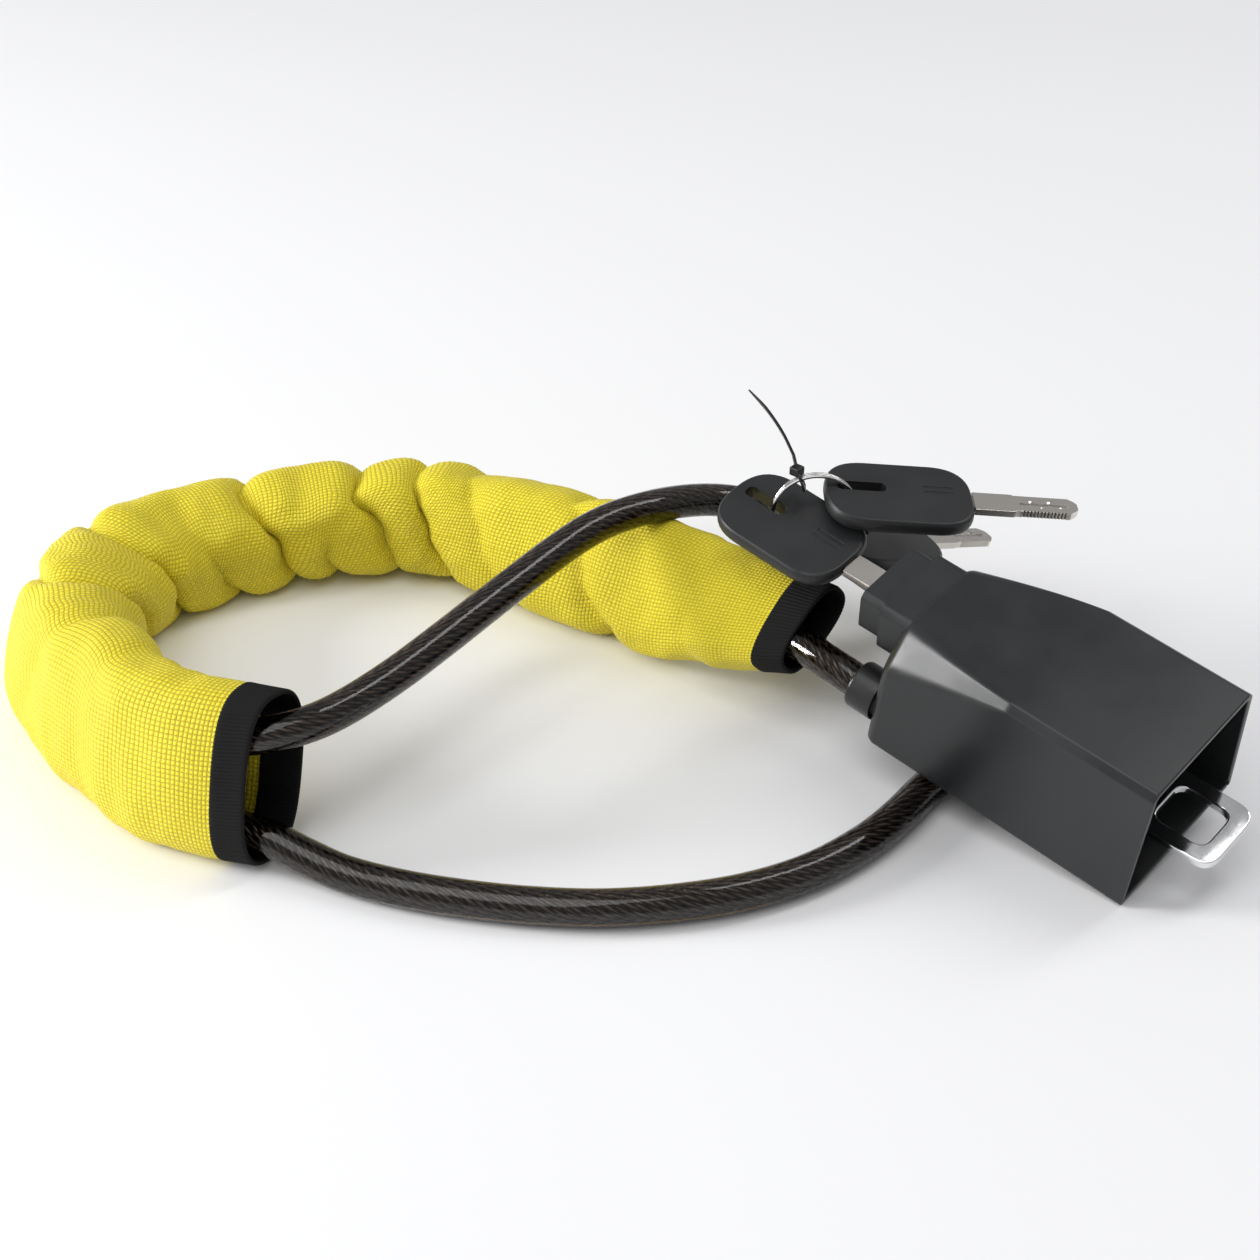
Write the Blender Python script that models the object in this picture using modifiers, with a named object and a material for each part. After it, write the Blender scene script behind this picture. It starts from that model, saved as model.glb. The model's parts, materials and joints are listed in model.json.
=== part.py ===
"""Steering-wheel cable lock that plugs into a seat-belt buckle, with its sleeve, keys and key ring.

World frame: metres, +Z up, floor at z = 0. The shroud points along +X, tipped on its own cable.
Housing frame: origin at the middle of the mouth's bottom edge, +X out of the mouth, +Z up.
"""
import math

import bmesh
import bpy
from mathutils import Euler, Matrix, Vector

MM = 0.001
GAP = 0.3 * MM

# Housing placement: nose down and leaning over the cable that it lies on.
HOUSING_AT = (65.6 * MM, -19.8 * MM, 5.41 * MM)
HOUSING_PITCH = math.radians(9.44)
HOUSING_ROLL = math.radians(11.8)

# Shroud: section half-widths and heights at the mouth and at the rear end.
SHROUD_LENGTH = 84.0 * MM
SHROUD_WALL = 2.2 * MM
BLEND_START = 43.5 * MM
BOTTOM_HALF = 26.8 * MM
FRONT_TOP_HALF = 23.1 * MM
FRONT_HEIGHT = 42.9 * MM
FRONT_CORNER = 2.0 * MM
REAR_TOP_HALF = 12.6 * MM
REAR_HEIGHT = 38.2 * MM
REAR_CHAMFER_HALF = 22.8 * MM
REAR_CHAMFER_HEIGHT = 27.0 * MM

# Lock: everything on its axis, which runs along the housing.
LOCK_HEIGHT = 29.5 * MM
COLLAR_SIZE = (27.4 * MM, 16.8 * MM)
COLLAR_END = 91.4 * MM
BLOCK_SIZE = (24.0 * MM, 14.2 * MM)
BLOCK_BACK = 99.0 * MM
BLOCK_FRONT = 69.0 * MM
BLOCK_CORNER = 2.5 * MM
BLOCK_BORE = 6.0 * MM
BARREL_RADIUS = 5.7 * MM
BARREL_BORE = 4.75 * MM
PLUG_RADIUS = 4.5 * MM
PLUG_FRONT = 76.0 * MM
CAM_LENGTH = 11.0 * MM
CAM_THICKNESS = 1.8 * MM

# Chassis: the cast core that the tongue, the cable and the push block fit into.
CHASSIS_BACK = 81.0 * MM
CHASSIS_FRONT = 53.0 * MM
CHASSIS_INSET = 2.6 * MM
CHANNEL_FRONT = 56.0 * MM

# Tongue
TONGUE_TIP = 14.4 * MM
TONGUE_BACK = 62.0 * MM
TONGUE_WIDTH = 23.5 * MM
TONGUE_THICKNESS = 2.6 * MM
TONGUE_HEIGHT = 13.3 * MM
TONGUE_HOLE = (-6.0 * MM, 9.6 * MM, 14.0 * MM)
RIVET_AT = ((-57.7 * MM, -6.0 * MM), (-57.7 * MM, 6.0 * MM))
SCREW_AT = ((-73.0 * MM, 9.0 * MM), (-73.0 * MM, -8.0 * MM), (-64.0 * MM, 18.0 * MM))

# Cable
CABLE_RADIUS = 5.0 * MM
CORE_RADIUS = 3.0 * MM
GLAND_AT = (-18.2 * MM, 10.0 * MM)
GLAND_RADIUS = 7.0 * MM
GLAND_END = 93.0 * MM
JACKET_START = 86.0 * MM
CORE_START = 67.0 * MM
STOP_RADIUS = 4.3 * MM
CABLE_STEP = 13.0 * MM

# Keys: bow with a slot, stepped blade
BOW_LENGTH = 42.5 * MM
BOW_WIDTH = 27.0 * MM
BOW_THICKNESS = 4.5 * MM
BOW_SLOT = (3.5 * MM, 17.5 * MM, 4.6 * MM)
BOW_SLOT_OFFSET = 2.0 * MM
BLADE_LENGTH = 30.6 * MM
BLADE_STEP = 11.6 * MM
BLADE_WIDTHS = (7.8 * MM, 7.0 * MM)
BLADE_THICKNESS = 2.2 * MM
TANG_LENGTH = 6.0 * MM
KEY_1_BACK = 154.0 * MM

# Key ring: a vertical ring through the slots of the three bows
RING_CENTRE = (-60.2 * MM, -15.3 * MM, 56.4 * MM)
RING_HEADING = math.radians(44.4)
RING_RADIUS = 12.0 * MM
RING_WIRE = 0.8 * MM
RING_IN_SLOT = 8.0 * MM
RING_IN_KEY_1 = 173.0
LOOSE_KEYS = {
    "key_2": {"ring_angle": 32.0, "heading": 44.0, "rise": -6.0, "roll": 8.0},
    "key_3": {"ring_angle": -47.0, "heading": 80.0, "rise": -20.0, "roll": 10.0},
}

# Sleeve: cross-sections from the open end to the housing's end: bottom point, top point, half thickness.
SLEEVE_WALL = 1.2 * MM
SLEEVE_SECTIONS = (
    ((-114.4, -179.5, 1.9), (-119.4, -165.5, 47.0), 12.0),
    ((-143.4, -187.5, 1.2), (-146.4, -178.5, 46.0), 11.5),
    ((-175.4, -185.0, 1.2), (-176.4, -175.5, 44.0), 11.5),
    ((-206.4, -174.5, 1.6), (-204.4, -164.5, 39.0), 14.0),
    ((-232.4, -148.5, 1.8), (-225.4, -137.5, 34.0), 17.0),
    ((-239.4, -119.5, 1.8), (-229.4, -113.5, 32.0), 17.0),
    ((-229.4, -89.5, 1.8), (-220.4, -86.5, 32.0), 16.0),
    ((-211.4, -65.5, 1.6), (-204.4, -60.5, 33.0), 15.0),
    ((-188.4, -47.5, 1.6), (-183.4, -39.5, 34.0), 14.0),
    ((-159.4, -42.5, 1.6), (-156.4, -31.5, 35.0), 12.5),
    ((-129.4, -40.5, 1.8), (-128.4, -25.5, 37.0), 11.0),
    ((-99.4, -40.5, 5.0), (-99.4, -22.5, 37.5), 10.0),
    ((-71.4, -42.5, 14.0), (-70.4, -21.5, 37.5), 9.0),
    ((-47.4, -43.5, 22.5), (-45.4, -21.5, 39.5), 7.5),
)
BINDING_LENGTH = 10.5 * MM

# The cable's own route, in millimetres, from inside the gland to its crimped end inside the sleeve.
CABLE_ROUTE = (
    (-18.2, -39.6, 25.5), (-25.1, -39.6, 26.6), (-35.4, -38.9, 27.9), (-46.4, -37.5, 28.2), (-60.4, -36.0, 26.5),
    (-77.4, -34.7, 22.7), (-99.4, -34.5, 18.5), (-127.4, -35.5, 16.5), (-157.4, -38.0, 15.5), (-185.4, -45.5, 15.0),
    (-207.4, -64.5, 15.0), (-223.4, -88.5, 15.0), (-232.4, -117.5, 15.0), (-226.4, -144.5, 15.0),
    (-212.4, -164.5, 15.0), (-197.4, -175.1, 14.8), (-186.4, -177.9, 14.75), (-175.4, -179.7, 14.75),
    (-164.4, -181.5, 14.75), (-153.4, -182.9, 14.0), (-141.4, -184.1, 11.2), (-124.4, -181.1, 9.9),
    (-113.4, -177.5, 8.7), (-103.4, -174.9, 6.7), (-91.9, -171.8, 5.2), (-77.1, -166.4, 5.2),
    (-62.3, -158.8, 5.2), (-47.4, -149.5, 5.2), (-32.6, -138.0, 5.2), (-19.4, -124.0, 5.2),
    (-8.4, -108.5, 5.2), (-0.9, -91.5, 5.2), (2.6, -73.5, 5.2),
    (2.9, -58.5, 5.2), (1.8, -44.5, 5.2), (1.6, -32.5, 5.5), (-0.9, -19.5, 8.0), (-7.4, -8.5, 12.0),
    (-16.4, -0.5, 16.5), (-27.4, 4.0, 21.0), (-40.4, 5.7, 24.5), (-56.4, 7.3, 27.2), (-71.4, 10.0, 28.8),
    (-84.4, 11.0, 30.3), (-96.4, 8.3, 33.0), (-104.4, -1.5, 37.0), (-107.9, -16.5, 42.0), (-109.7, -33.3, 46.0),
    (-112.4, -48.5, 46.7), (-113.3, -64.5, 45.5), (-112.4, -90.5, 43.0), (-112.0, -113.5, 40.0), (-111.8, -131.5, 38.0),
    (-112.2, -148.5, 37.0), (-114.4, -160.5, 36.5), (-120.9, -171.0, 35.5), (-131.9, -178.5, 33.2),
    (-145.4, -182.3, 29.8), (-157.4, -182.1, 27.2), (-165.4, -181.4, 26.3), (-175.4, -179.7, 26.25),
    (-186.4, -177.8, 26.25),
)
FERRULE_CENTRE = (-175.4 * MM, -179.7 * MM, 20.5 * MM)
FERRULE_HEADING = math.radians(-9.6)
FERRULE_LENGTH = 18.0 * MM

# Cable tie standing in the ring: from its tip down to its head.
TIE_ROUTE = ((-81.9, -19.5, 89.5), (-75.9, -18.7, 85.0), (-70.6, -18.2, 79.5), (-66.4, -18.3, 74.0))
TIE_RADIUS = 0.8 * MM
TIE_RING_ANGLE = 112.0
TIE_LOOP_RADIUS = 3.2 * MM


# ---------------------------------------------------------------- scene and helpers

def clear_scene():
    for obj in list(bpy.data.objects):
        bpy.data.objects.remove(obj, do_unlink=True)


def new_collection(name):
    collection = bpy.data.collections.new(name)
    bpy.context.scene.collection.children.link(collection)
    return collection


def material(name, colour, roughness, metallic=0.0, alpha=1.0):
    mat = bpy.data.materials.new(name)
    mat.use_nodes = True
    shader = mat.node_tree.nodes["Principled BSDF"]
    shader.inputs["Base Color"].default_value = (*colour, 1.0)
    shader.inputs["Roughness"].default_value = roughness
    shader.inputs["Metallic"].default_value = metallic
    shader.inputs["Alpha"].default_value = alpha
    return mat


def finish(obj, name, mat, parent=None, collection=None):
    """Name the object, give it its material and put it in the part's collection."""
    obj.name = name
    obj.data.name = name
    obj.data.materials.clear()
    obj.data.materials.append(mat)
    for old in list(obj.users_collection):
        old.objects.unlink(obj)
    (collection or PART).objects.link(obj)
    if parent is not None:
        obj.parent = parent
    if parent in MOVING:
        obj.matrix_parent_inverse = parent.matrix_local.inverted()
    return obj


def object_from_bmesh(bm, name, mat, parent=None, collection=None):
    bmesh.ops.recalc_face_normals(bm, faces=bm.faces)
    mesh = bpy.data.meshes.new(name)
    bm.to_mesh(mesh)
    bm.free()
    return finish(bpy.data.objects.new(name, mesh), name, mat, parent, collection)


def box(name, low, high, mat, parent=None, collection=None):
    """Axis-aligned box between two corners of its parent's frame."""
    low, high = Vector(low), Vector(high)
    bm = bmesh.new()
    bmesh.ops.create_cube(bm, size=1.0)
    bmesh.ops.scale(bm, vec=high - low, verts=bm.verts)
    bmesh.ops.translate(bm, vec=(low + high) / 2, verts=bm.verts)
    return object_from_bmesh(bm, name, mat, parent, collection)


def rod(name, start, end, radius, mat, parent=None, collection=None, sides=24, end_radius=None):
    """Cylinder or cone between two points of its parent's frame."""
    start, end = Vector(start), Vector(end)
    axis = end - start
    bm = bmesh.new()
    bmesh.ops.create_cone(bm, cap_ends=True, segments=sides, radius1=radius,
                          radius2=radius if end_radius is None else end_radius, depth=axis.length)
    turn = axis.to_track_quat("Z", "Y").to_matrix().to_4x4()
    bmesh.ops.transform(bm, matrix=Matrix.Translation((start + end) / 2) @ turn, verts=bm.verts)
    return object_from_bmesh(bm, name, mat, parent, collection)


def turned(name, profile, mat, matrix, parent=None, steps=24):
    """Closed solid of revolution. The profile is (radius, height) pairs, top to bottom, ends on the axis."""
    mesh = bpy.data.meshes.new(name)
    points = [(radius, 0.0, height) for radius, height in profile]
    mesh.from_pydata(points, [(i, i + 1) for i in range(len(points) - 1)], [])
    obj = finish(bpy.data.objects.new(name, mesh), name, mat, parent)
    obj.matrix_basis = matrix
    screw = obj.modifiers.new("turn", "SCREW")
    screw.steps = screw.render_steps = steps
    screw.use_merge_vertices = True
    screw.merge_threshold = 0.00001
    return obj


def along_x(x, y, z):
    """Matrix that lays a turned piece's +Z axis along the housing's -X axis at a point."""
    return Matrix.Translation((x, y, z)) @ Euler((0.0, -math.pi / 2, 0.0)).to_matrix().to_4x4()


def loft(name, rings, mat, parent=None, collection=None, capped=True):
    """Skin between rings of equal numbers of points, for sections that differ."""
    bm = bmesh.new()
    rows = [[bm.verts.new(point) for point in ring] for ring in rings]
    count = len(rows[0])
    for row, following in zip(rows, rows[1:]):
        for i in range(count):
            j = (i + 1) % count
            bm.faces.new((row[i], row[j], following[j], following[i]))
    if capped:
        bm.faces.new(rows[0])
        bm.faces.new(rows[-1])
    return object_from_bmesh(bm, name, mat, parent, collection)


def boolean(obj, tool, operation="DIFFERENCE"):
    modifier = obj.modifiers.new(tool.name, "BOOLEAN")
    modifier.operation = operation
    modifier.solver = "EXACT"
    modifier.object = tool
    tool.hide_render = True
    tool.display_type = "WIRE"


def rounded_outline(half_x, half_y, radius, centre=(0.0, 0.0), per_corner=5):
    """Points of a rectangle with round corners, anticlockwise."""
    points = []
    for quarter, (sx, sy) in enumerate(((1, 1), (-1, 1), (-1, -1), (1, -1))):
        for i in range(per_corner):
            angle = math.pi / 2 * (quarter + i / (per_corner - 1))
            points.append((centre[0] + sx * (half_x - radius) + radius * math.cos(angle),
                           centre[1] + sy * (half_y - radius) + radius * math.sin(angle)))
    return points


def flat_piece(name, outlines, thickness, mat, matrix, parent=None):
    """Plate from 2D outlines; those after the first are holes. Its faces lie half a thickness each way."""
    curve = bpy.data.curves.new(name, "CURVE")
    curve.dimensions = "2D"
    curve.fill_mode = "BOTH"
    curve.extrude = thickness / 2
    for outline in outlines:
        spline = curve.splines.new("POLY")
        spline.points.add(len(outline) - 1)
        for point, (x, y) in zip(spline.points, outline):
            point.co = (x, y, 0.0, 1.0)
        spline.use_cyclic_u = True
    source = bpy.data.objects.new(name, curve)
    PART.objects.link(source)
    return meshed(source, name, mat, parent, matrix)


def tube(name, points, radius, mat, resolution=3, collection=None, parent=None):
    """Round tube with flat ends along a list of points, as a welded mesh."""
    curve = bpy.data.curves.new(name, "CURVE")
    curve.dimensions = "3D"
    curve.resolution_u = 1
    curve.bevel_depth = radius
    curve.bevel_resolution = resolution
    curve.use_fill_caps = True
    spline = curve.splines.new("POLY")
    spline.points.add(len(points) - 1)
    for point, place in zip(spline.points, points):
        point.co = (*place, 1.0)
    source = bpy.data.objects.new(name, curve)
    PART.objects.link(source)
    return meshed(source, name, mat, parent, Matrix.Identity(4), collection)


def meshed(source, name, mat, parent, matrix, collection=None):
    """Turn a curve object into a welded mesh object, so that Booleans and Bevel work on it."""
    evaluated = source.evaluated_get(bpy.context.evaluated_depsgraph_get())
    mesh = bpy.data.meshes.new_from_object(evaluated)
    bpy.data.objects.remove(source, do_unlink=True)
    bm = bmesh.new()
    bm.from_mesh(mesh)
    bmesh.ops.remove_doubles(bm, verts=bm.verts, dist=0.000001)
    bmesh.ops.recalc_face_normals(bm, faces=bm.faces)
    bm.to_mesh(mesh)
    bm.free()
    obj = finish(bpy.data.objects.new(name, mesh), name, mat, parent, collection)
    obj.matrix_basis = matrix
    return obj


def smooth_route(points, step):
    """Evenly spaced points along a Catmull-Rom curve through the given ones."""
    places = [Vector(point) * MM for point in points]
    places = [2 * places[0] - places[1]] + places + [2 * places[-1] - places[-2]]
    fine = []
    for a, b, c, d in zip(places, places[1:], places[2:], places[3:]):
        for i in range(12):
            t = i / 12
            fine.append(0.5 * (2 * b + (c - a) * t + (2 * a - 5 * b + 4 * c - d) * t ** 2
                               + (3 * b - a - 3 * c + d) * t ** 3))
    fine.append(places[-2])
    return respaced(fine, step)


def respaced(points, step):
    """The same line with its points an even distance apart."""
    lengths = [0.0]
    for a, b in zip(points, points[1:]):
        lengths.append(lengths[-1] + (b - a).length)
    count = max(2, round(lengths[-1] / step))
    result, index = [], 0
    for i in range(count + 1):
        target = lengths[-1] * i / count
        while index < len(points) - 2 and lengths[index + 1] < target:
            index += 1
        span = lengths[index + 1] - lengths[index]
        share = (target - lengths[index]) / span if span else 0.0
        result.append(points[index].lerp(points[index + 1], share))
    return result


# ---------------------------------------------------------------- housing

def section_at(back, inset=0.0):
    """Shroud outline at a distance behind the mouth: sides lean in, and the top corners are cut off."""
    blend = max(0.0, (back - BLEND_START) / (SHROUD_LENGTH - BLEND_START))
    height = FRONT_HEIGHT + (REAR_HEIGHT - FRONT_HEIGHT) * blend
    top = FRONT_TOP_HALF - FRONT_CORNER + (REAR_TOP_HALF - FRONT_TOP_HALF + FRONT_CORNER) * blend ** 1.4
    side_height = FRONT_HEIGHT - FRONT_CORNER + (REAR_CHAMFER_HEIGHT - FRONT_HEIGHT + FRONT_CORNER) * blend
    side = FRONT_TOP_HALF + (REAR_CHAMFER_HALF - FRONT_TOP_HALF) * blend
    cut = 0.41 * inset
    points = ((BOTTOM_HALF - inset, inset), (side - inset, side_height - cut), (top - cut, height - inset))
    return [(x, z) for x, z in points] + [(-x, z) for x, z in reversed(points)]


def housing_loft(name, backs, inset, mat, collection=None):
    rings = [[(-back, y, z) for y, z in section_at(back, inset)] for back in backs]
    return loft(name, rings, mat, HOUSING, collection)


def rounded_bar(name, back, front, size, radius, mat, collection=None):
    """Bar with rounded long edges, centred on the lock's axis."""
    outline = rounded_outline(size[0] / 2, size[1] / 2, radius, (0.0, LOCK_HEIGHT))
    rings = [[(-x, y, z) for y, z in outline] for x in (back, front)]
    return loft(name, rings, mat, HOUSING, collection)


def make_shroud():
    black = material("shroud_plastic", (0.038, 0.039, 0.042), 0.42)
    blend_steps = [BLEND_START + (SHROUD_LENGTH - BLEND_START) * i / 5 for i in range(6)]
    shroud = housing_loft("shroud", [0.0] + blend_steps, 0.0, black)
    collar = rounded_bar("collar_tool", COLLAR_END, 83.0 * MM, COLLAR_SIZE, 3.0 * MM, black, CUTTERS)
    boolean(shroud, collar, "UNION")
    cavity_end = SHROUD_LENGTH - 2.5 * MM
    cavity_steps = [step for step in blend_steps if step < cavity_end]
    cavity = housing_loft("cavity_tool", [-1.0 * MM] + cavity_steps + [cavity_end], SHROUD_WALL, black, CUTTERS)
    boolean(shroud, cavity)
    window_size = (BLOCK_SIZE[0] + 2 * GAP, BLOCK_SIZE[1] + 2 * GAP)
    window = rounded_bar("window_tool", 95.0 * MM, 60.0 * MM, window_size, BLOCK_CORNER, black, CUTTERS)
    boolean(shroud, window)
    y, z = GLAND_AT
    boolean(shroud, rod("gland_hole_tool", (-90.0 * MM, y, z), (-80.0 * MM, y, z), 5.8 * MM, black,
                        HOUSING, CUTTERS))
    for index, (x, y) in enumerate(SCREW_AT):
        boolean(shroud, rod(f"screw_hole_tool_{index}", (x, y, -MM), (x, y, 4.0 * MM), 1.9 * MM, black,
                            HOUSING, CUTTERS, 16))
        boolean(shroud, rod(f"screw_seat_tool_{index}", (x, y, -MM), (x, y, 1.4 * MM), 3.4 * MM, black,
                            HOUSING, CUTTERS, 20))


def headed_pin(name, at, head, shank, mat):
    """Screw or rivet standing upright: head and shank are (radius, low, high) in millimetres."""
    profile = ((0.0, shank[2]), (shank[0], shank[2]), (shank[0], head[2]), (head[0], head[2]),
               (head[0], head[1]), (0.0, head[1]))
    places = [(radius * MM, height * MM) for radius, height in profile]
    turned(name, places, mat, Matrix.Translation((at[0], at[1], 0.0)), HOUSING, 16)


def make_fasteners():
    steel = material("fastener_steel", (0.45, 0.45, 0.46), 0.35, 1.0)
    for index, at in enumerate(SCREW_AT):
        headed_pin(f"chassis_screw_{index + 1}", at, (3.0, 0.2, 1.3), (1.5, 1.3, 10.0), steel)
    for index, at in enumerate(RIVET_AT):
        headed_pin(f"tongue_rivet_{index + 1}", at, (3.4, 3.3, 5.0), (2.0, 5.0, 19.0), steel)


def make_chassis():
    zinc = material("chassis_zinc", (0.30, 0.31, 0.33), 0.5, 0.9)
    backs = [CHASSIS_FRONT + (CHASSIS_BACK - CHASSIS_FRONT) * i / 4 for i in range(5)]
    chassis = housing_loft("chassis", backs, CHASSIS_INSET, zinc)
    clearance = 2 * GAP
    channel_size = (BLOCK_SIZE[0] + clearance, BLOCK_SIZE[1] + clearance)
    boolean(chassis, rounded_bar("channel_tool", 85.0 * MM, CHANNEL_FRONT, channel_size, BLOCK_CORNER, zinc,
                                 CUTTERS))
    boolean(chassis, rod("pusher_hole_tool", (-60.0 * MM, 0.0, LOCK_HEIGHT), (-50.0 * MM, 0.0, LOCK_HEIGHT),
                         3.5 * MM, zinc, HOUSING, CUTTERS))
    boolean(chassis, box("cam_pocket_tool", (-78.0 * MM, -5.0 * MM, 17.3 * MM),
                         (-66.5 * MM, 10.0 * MM, 23.0 * MM), zinc, HOUSING, CUTTERS))
    slot_half = TONGUE_WIDTH / 2 + GAP
    low = TONGUE_HEIGHT - TONGUE_THICKNESS / 2 - GAP
    high = TONGUE_HEIGHT + TONGUE_THICKNESS / 2 + GAP
    boolean(chassis, box("tongue_slot_tool", (-TONGUE_BACK - GAP, -slot_half, low), (-50.0 * MM, slot_half, high),
                         zinc, HOUSING, CUTTERS))
    y, z = GLAND_AT
    boolean(chassis, rod("core_bore_tool", (-84.0 * MM, y, z), (-75.0 * MM, y, z), CORE_RADIUS + GAP, zinc,
                         HOUSING, CUTTERS))
    boolean(chassis, rod("stop_bore_tool", (-76.5 * MM, y, z), (-50.0 * MM, y, z), STOP_RADIUS + GAP, zinc,
                         HOUSING, CUTTERS))
    for index, (x, y) in enumerate(SCREW_AT):
        boolean(chassis, rod(f"screw_bore_tool_{index}", (x, y, 1.0 * MM), (x, y, 10.5 * MM), 1.8 * MM, zinc,
                             HOUSING, CUTTERS, 16))
    for index, (x, y) in enumerate(RIVET_AT):
        boolean(chassis, rod(f"rivet_bore_tool_{index}", (x, y, 1.0 * MM), (x, y, 19.4 * MM), 2.3 * MM, zinc,
                             HOUSING, CUTTERS, 16))
        boolean(chassis, rod(f"rivet_seat_tool_{index}", (x, y, 1.0 * MM), (x, y, 5.3 * MM), 3.8 * MM, zinc,
                             HOUSING, CUTTERS, 16))


def make_tongue():
    steel = material("tongue_steel", (0.80, 0.80, 0.80), 0.08, 1.0)
    half = TONGUE_WIDTH / 2
    middle = (TONGUE_TIP - TONGUE_BACK) / 2
    body = rounded_outline((TONGUE_TIP + TONGUE_BACK) / 2, half, 5.5 * MM, (middle, 0.0))
    hole_back, hole_front, hole_width = TONGUE_HOLE
    hole = rounded_outline((hole_front - hole_back) / 2, hole_width / 2, 3.5 * MM,
                           ((hole_back + hole_front) / 2, 0.0))
    matrix = Matrix.Translation((0.0, 0.0, TONGUE_HEIGHT))
    tongue = flat_piece("tongue", (body, hole), TONGUE_THICKNESS, steel, matrix, HOUSING)
    for index, (x, y) in enumerate(RIVET_AT):
        boolean(tongue, rod(f"tongue_hole_tool_{index}", (x, y, 8.0 * MM), (x, y, 18.0 * MM), 2.3 * MM, steel,
                            HOUSING, CUTTERS, 16))


def make_gland():
    black = material("gland_black", (0.02, 0.02, 0.022), 0.3)
    y, z = GLAND_AT
    outside = GLAND_END - SHROUD_LENGTH - GAP
    inside = SHROUD_LENGTH + GAP - 81.3 * MM
    profile = ((0.0, outside), (GLAND_RADIUS - 1.2 * MM, outside), (GLAND_RADIUS - 0.35 * MM, outside - 0.35 * MM),
               (GLAND_RADIUS, outside - 1.2 * MM), (GLAND_RADIUS, 0.0), (5.5 * MM, 0.0), (5.5 * MM, -inside),
               (0.0, -inside))
    gland = turned("cable_gland", profile, black, along_x(-SHROUD_LENGTH - GAP, y, z), HOUSING, 32)
    boolean(gland, rod("jacket_bore_tool", (-95.0 * MM, y, z), (-JACKET_START + GAP, y, z), CABLE_RADIUS + GAP,
                       black, HOUSING, CUTTERS, 32))
    boolean(gland, rod("gland_core_tool", (-88.0 * MM, y, z), (-80.0 * MM, y, z), CORE_RADIUS + GAP, black,
                       HOUSING, CUTTERS))


# ---------------------------------------------------------------- cable and sleeve

def make_cable():
    """Steel rope and its clear jacket along one route, and the two crimps that end them."""
    route = smooth_route(CABLE_ROUTE, CABLE_STEP)
    steel = material("rope_steel", (0.25, 0.24, 0.23), 0.35, 1.0)
    clear = material("jacket_pvc", (0.05, 0.045, 0.04), 0.12)
    y, z = GLAND_AT
    to_world = HOUSING.matrix_local
    core_start = to_world @ Vector((-CORE_START - GAP, y, z))
    tail = (route[-1] - route[-2]).normalized()
    tube("cable_core", [core_start] + route[1:-1] + [route[-1] + tail * 0.8 * MM], CORE_RADIUS, steel, 2)
    jacket = tube("cable_jacket", route, CABLE_RADIUS, clear, 3)
    head = (route[0] - route[1]).normalized()
    longer = [route[0] + head * 2 * MM] + route[1:-1] + [route[-1] + tail * 2 * MM]
    boolean(jacket, tube("jacket_bore", longer, CORE_RADIUS + GAP, clear, 2, CUTTERS))
    zinc = material("crimp_zinc", (0.5, 0.5, 0.5), 0.4, 1.0)
    stop = rod("cable_end_stop", (-76.0 * MM, y, z), (-64.0 * MM, y, z), STOP_RADIUS, zinc, HOUSING)
    boolean(stop, rod("stop_hole_tool", (-80.0 * MM, y, z), (-CORE_START + GAP, y, z), CORE_RADIUS + GAP, zinc,
                      HOUSING, CUTTERS))
    make_ferrule(zinc)


def make_ferrule(zinc):
    """Double-barrel crimp that closes the cable's loop inside the sleeve."""
    spacing = 11.5 * MM
    outline = rounded_outline(6.6 * MM, 6.6 * MM + spacing / 2, 6.5 * MM)
    holes = [[(5.5 * MM * math.cos(a), side * spacing / 2 + 5.5 * MM * math.sin(a))
              for a in (math.tau * i / 16 for i in range(16))] for side in (1, -1)]
    turn = Euler((math.pi / 2, 0.0, FERRULE_HEADING + math.pi / 2)).to_matrix().to_4x4()
    flat_piece("loop_ferrule", [outline] + holes, FERRULE_LENGTH, zinc,
               Matrix.Translation(FERRULE_CENTRE) @ turn)


def sleeve_ring(bottom, top, thick, tangent, grow=0.0, count=24):
    """One cross-section of the flattened sleeve: an oval with full sides."""
    bottom, top = Vector(bottom) * MM, Vector(top) * MM
    up = (top - bottom).normalized()
    side = tangent.cross(up).normalized()
    half_height = (top - bottom).length / 2 + grow
    half_thick = thick * MM + grow
    centre = (bottom + top) / 2
    ring = []
    for i in range(count):
        angle = math.tau * i / count
        c, s = math.cos(angle), math.sin(angle)
        ring.append(centre + up * half_height * math.copysign(abs(s) ** 0.65, s)
                    + side * half_thick * math.copysign(abs(c) ** 0.65, c))
    return ring


def sleeve_frames():
    """Sections with their directions of travel, worked out from the neighbouring centres."""
    centres = [(Vector(bottom) + Vector(top)) / 2 for bottom, top, _ in SLEEVE_SECTIONS]
    frames = []
    for i, (bottom, top, thick) in enumerate(SLEEVE_SECTIONS):
        tangent = (centres[min(i + 1, len(centres) - 1)] - centres[max(i - 1, 0)]).normalized()
        frames.append((Vector(bottom), Vector(top), thick, tangent))
    return frames


def hollow_loft(name, frames, outer, inner, mat):
    """Open-ended tube of cloth: a loft with the loft of its inside cut out."""
    skin = loft(name, [sleeve_ring(*frame, grow=outer) for frame in frames], mat)
    first, last = frames[0], frames[-1]
    reach = 2.0
    longer = [(first[0] - first[3] * reach, first[1] - first[3] * reach, first[2], first[3])] + list(frames) \
        + [(last[0] + last[3] * reach, last[1] + last[3] * reach, last[2], last[3])]
    boolean(skin, loft(name + "_tool", [sleeve_ring(*frame, grow=inner) for frame in longer], mat,
                       collection=CUTTERS))


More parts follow.
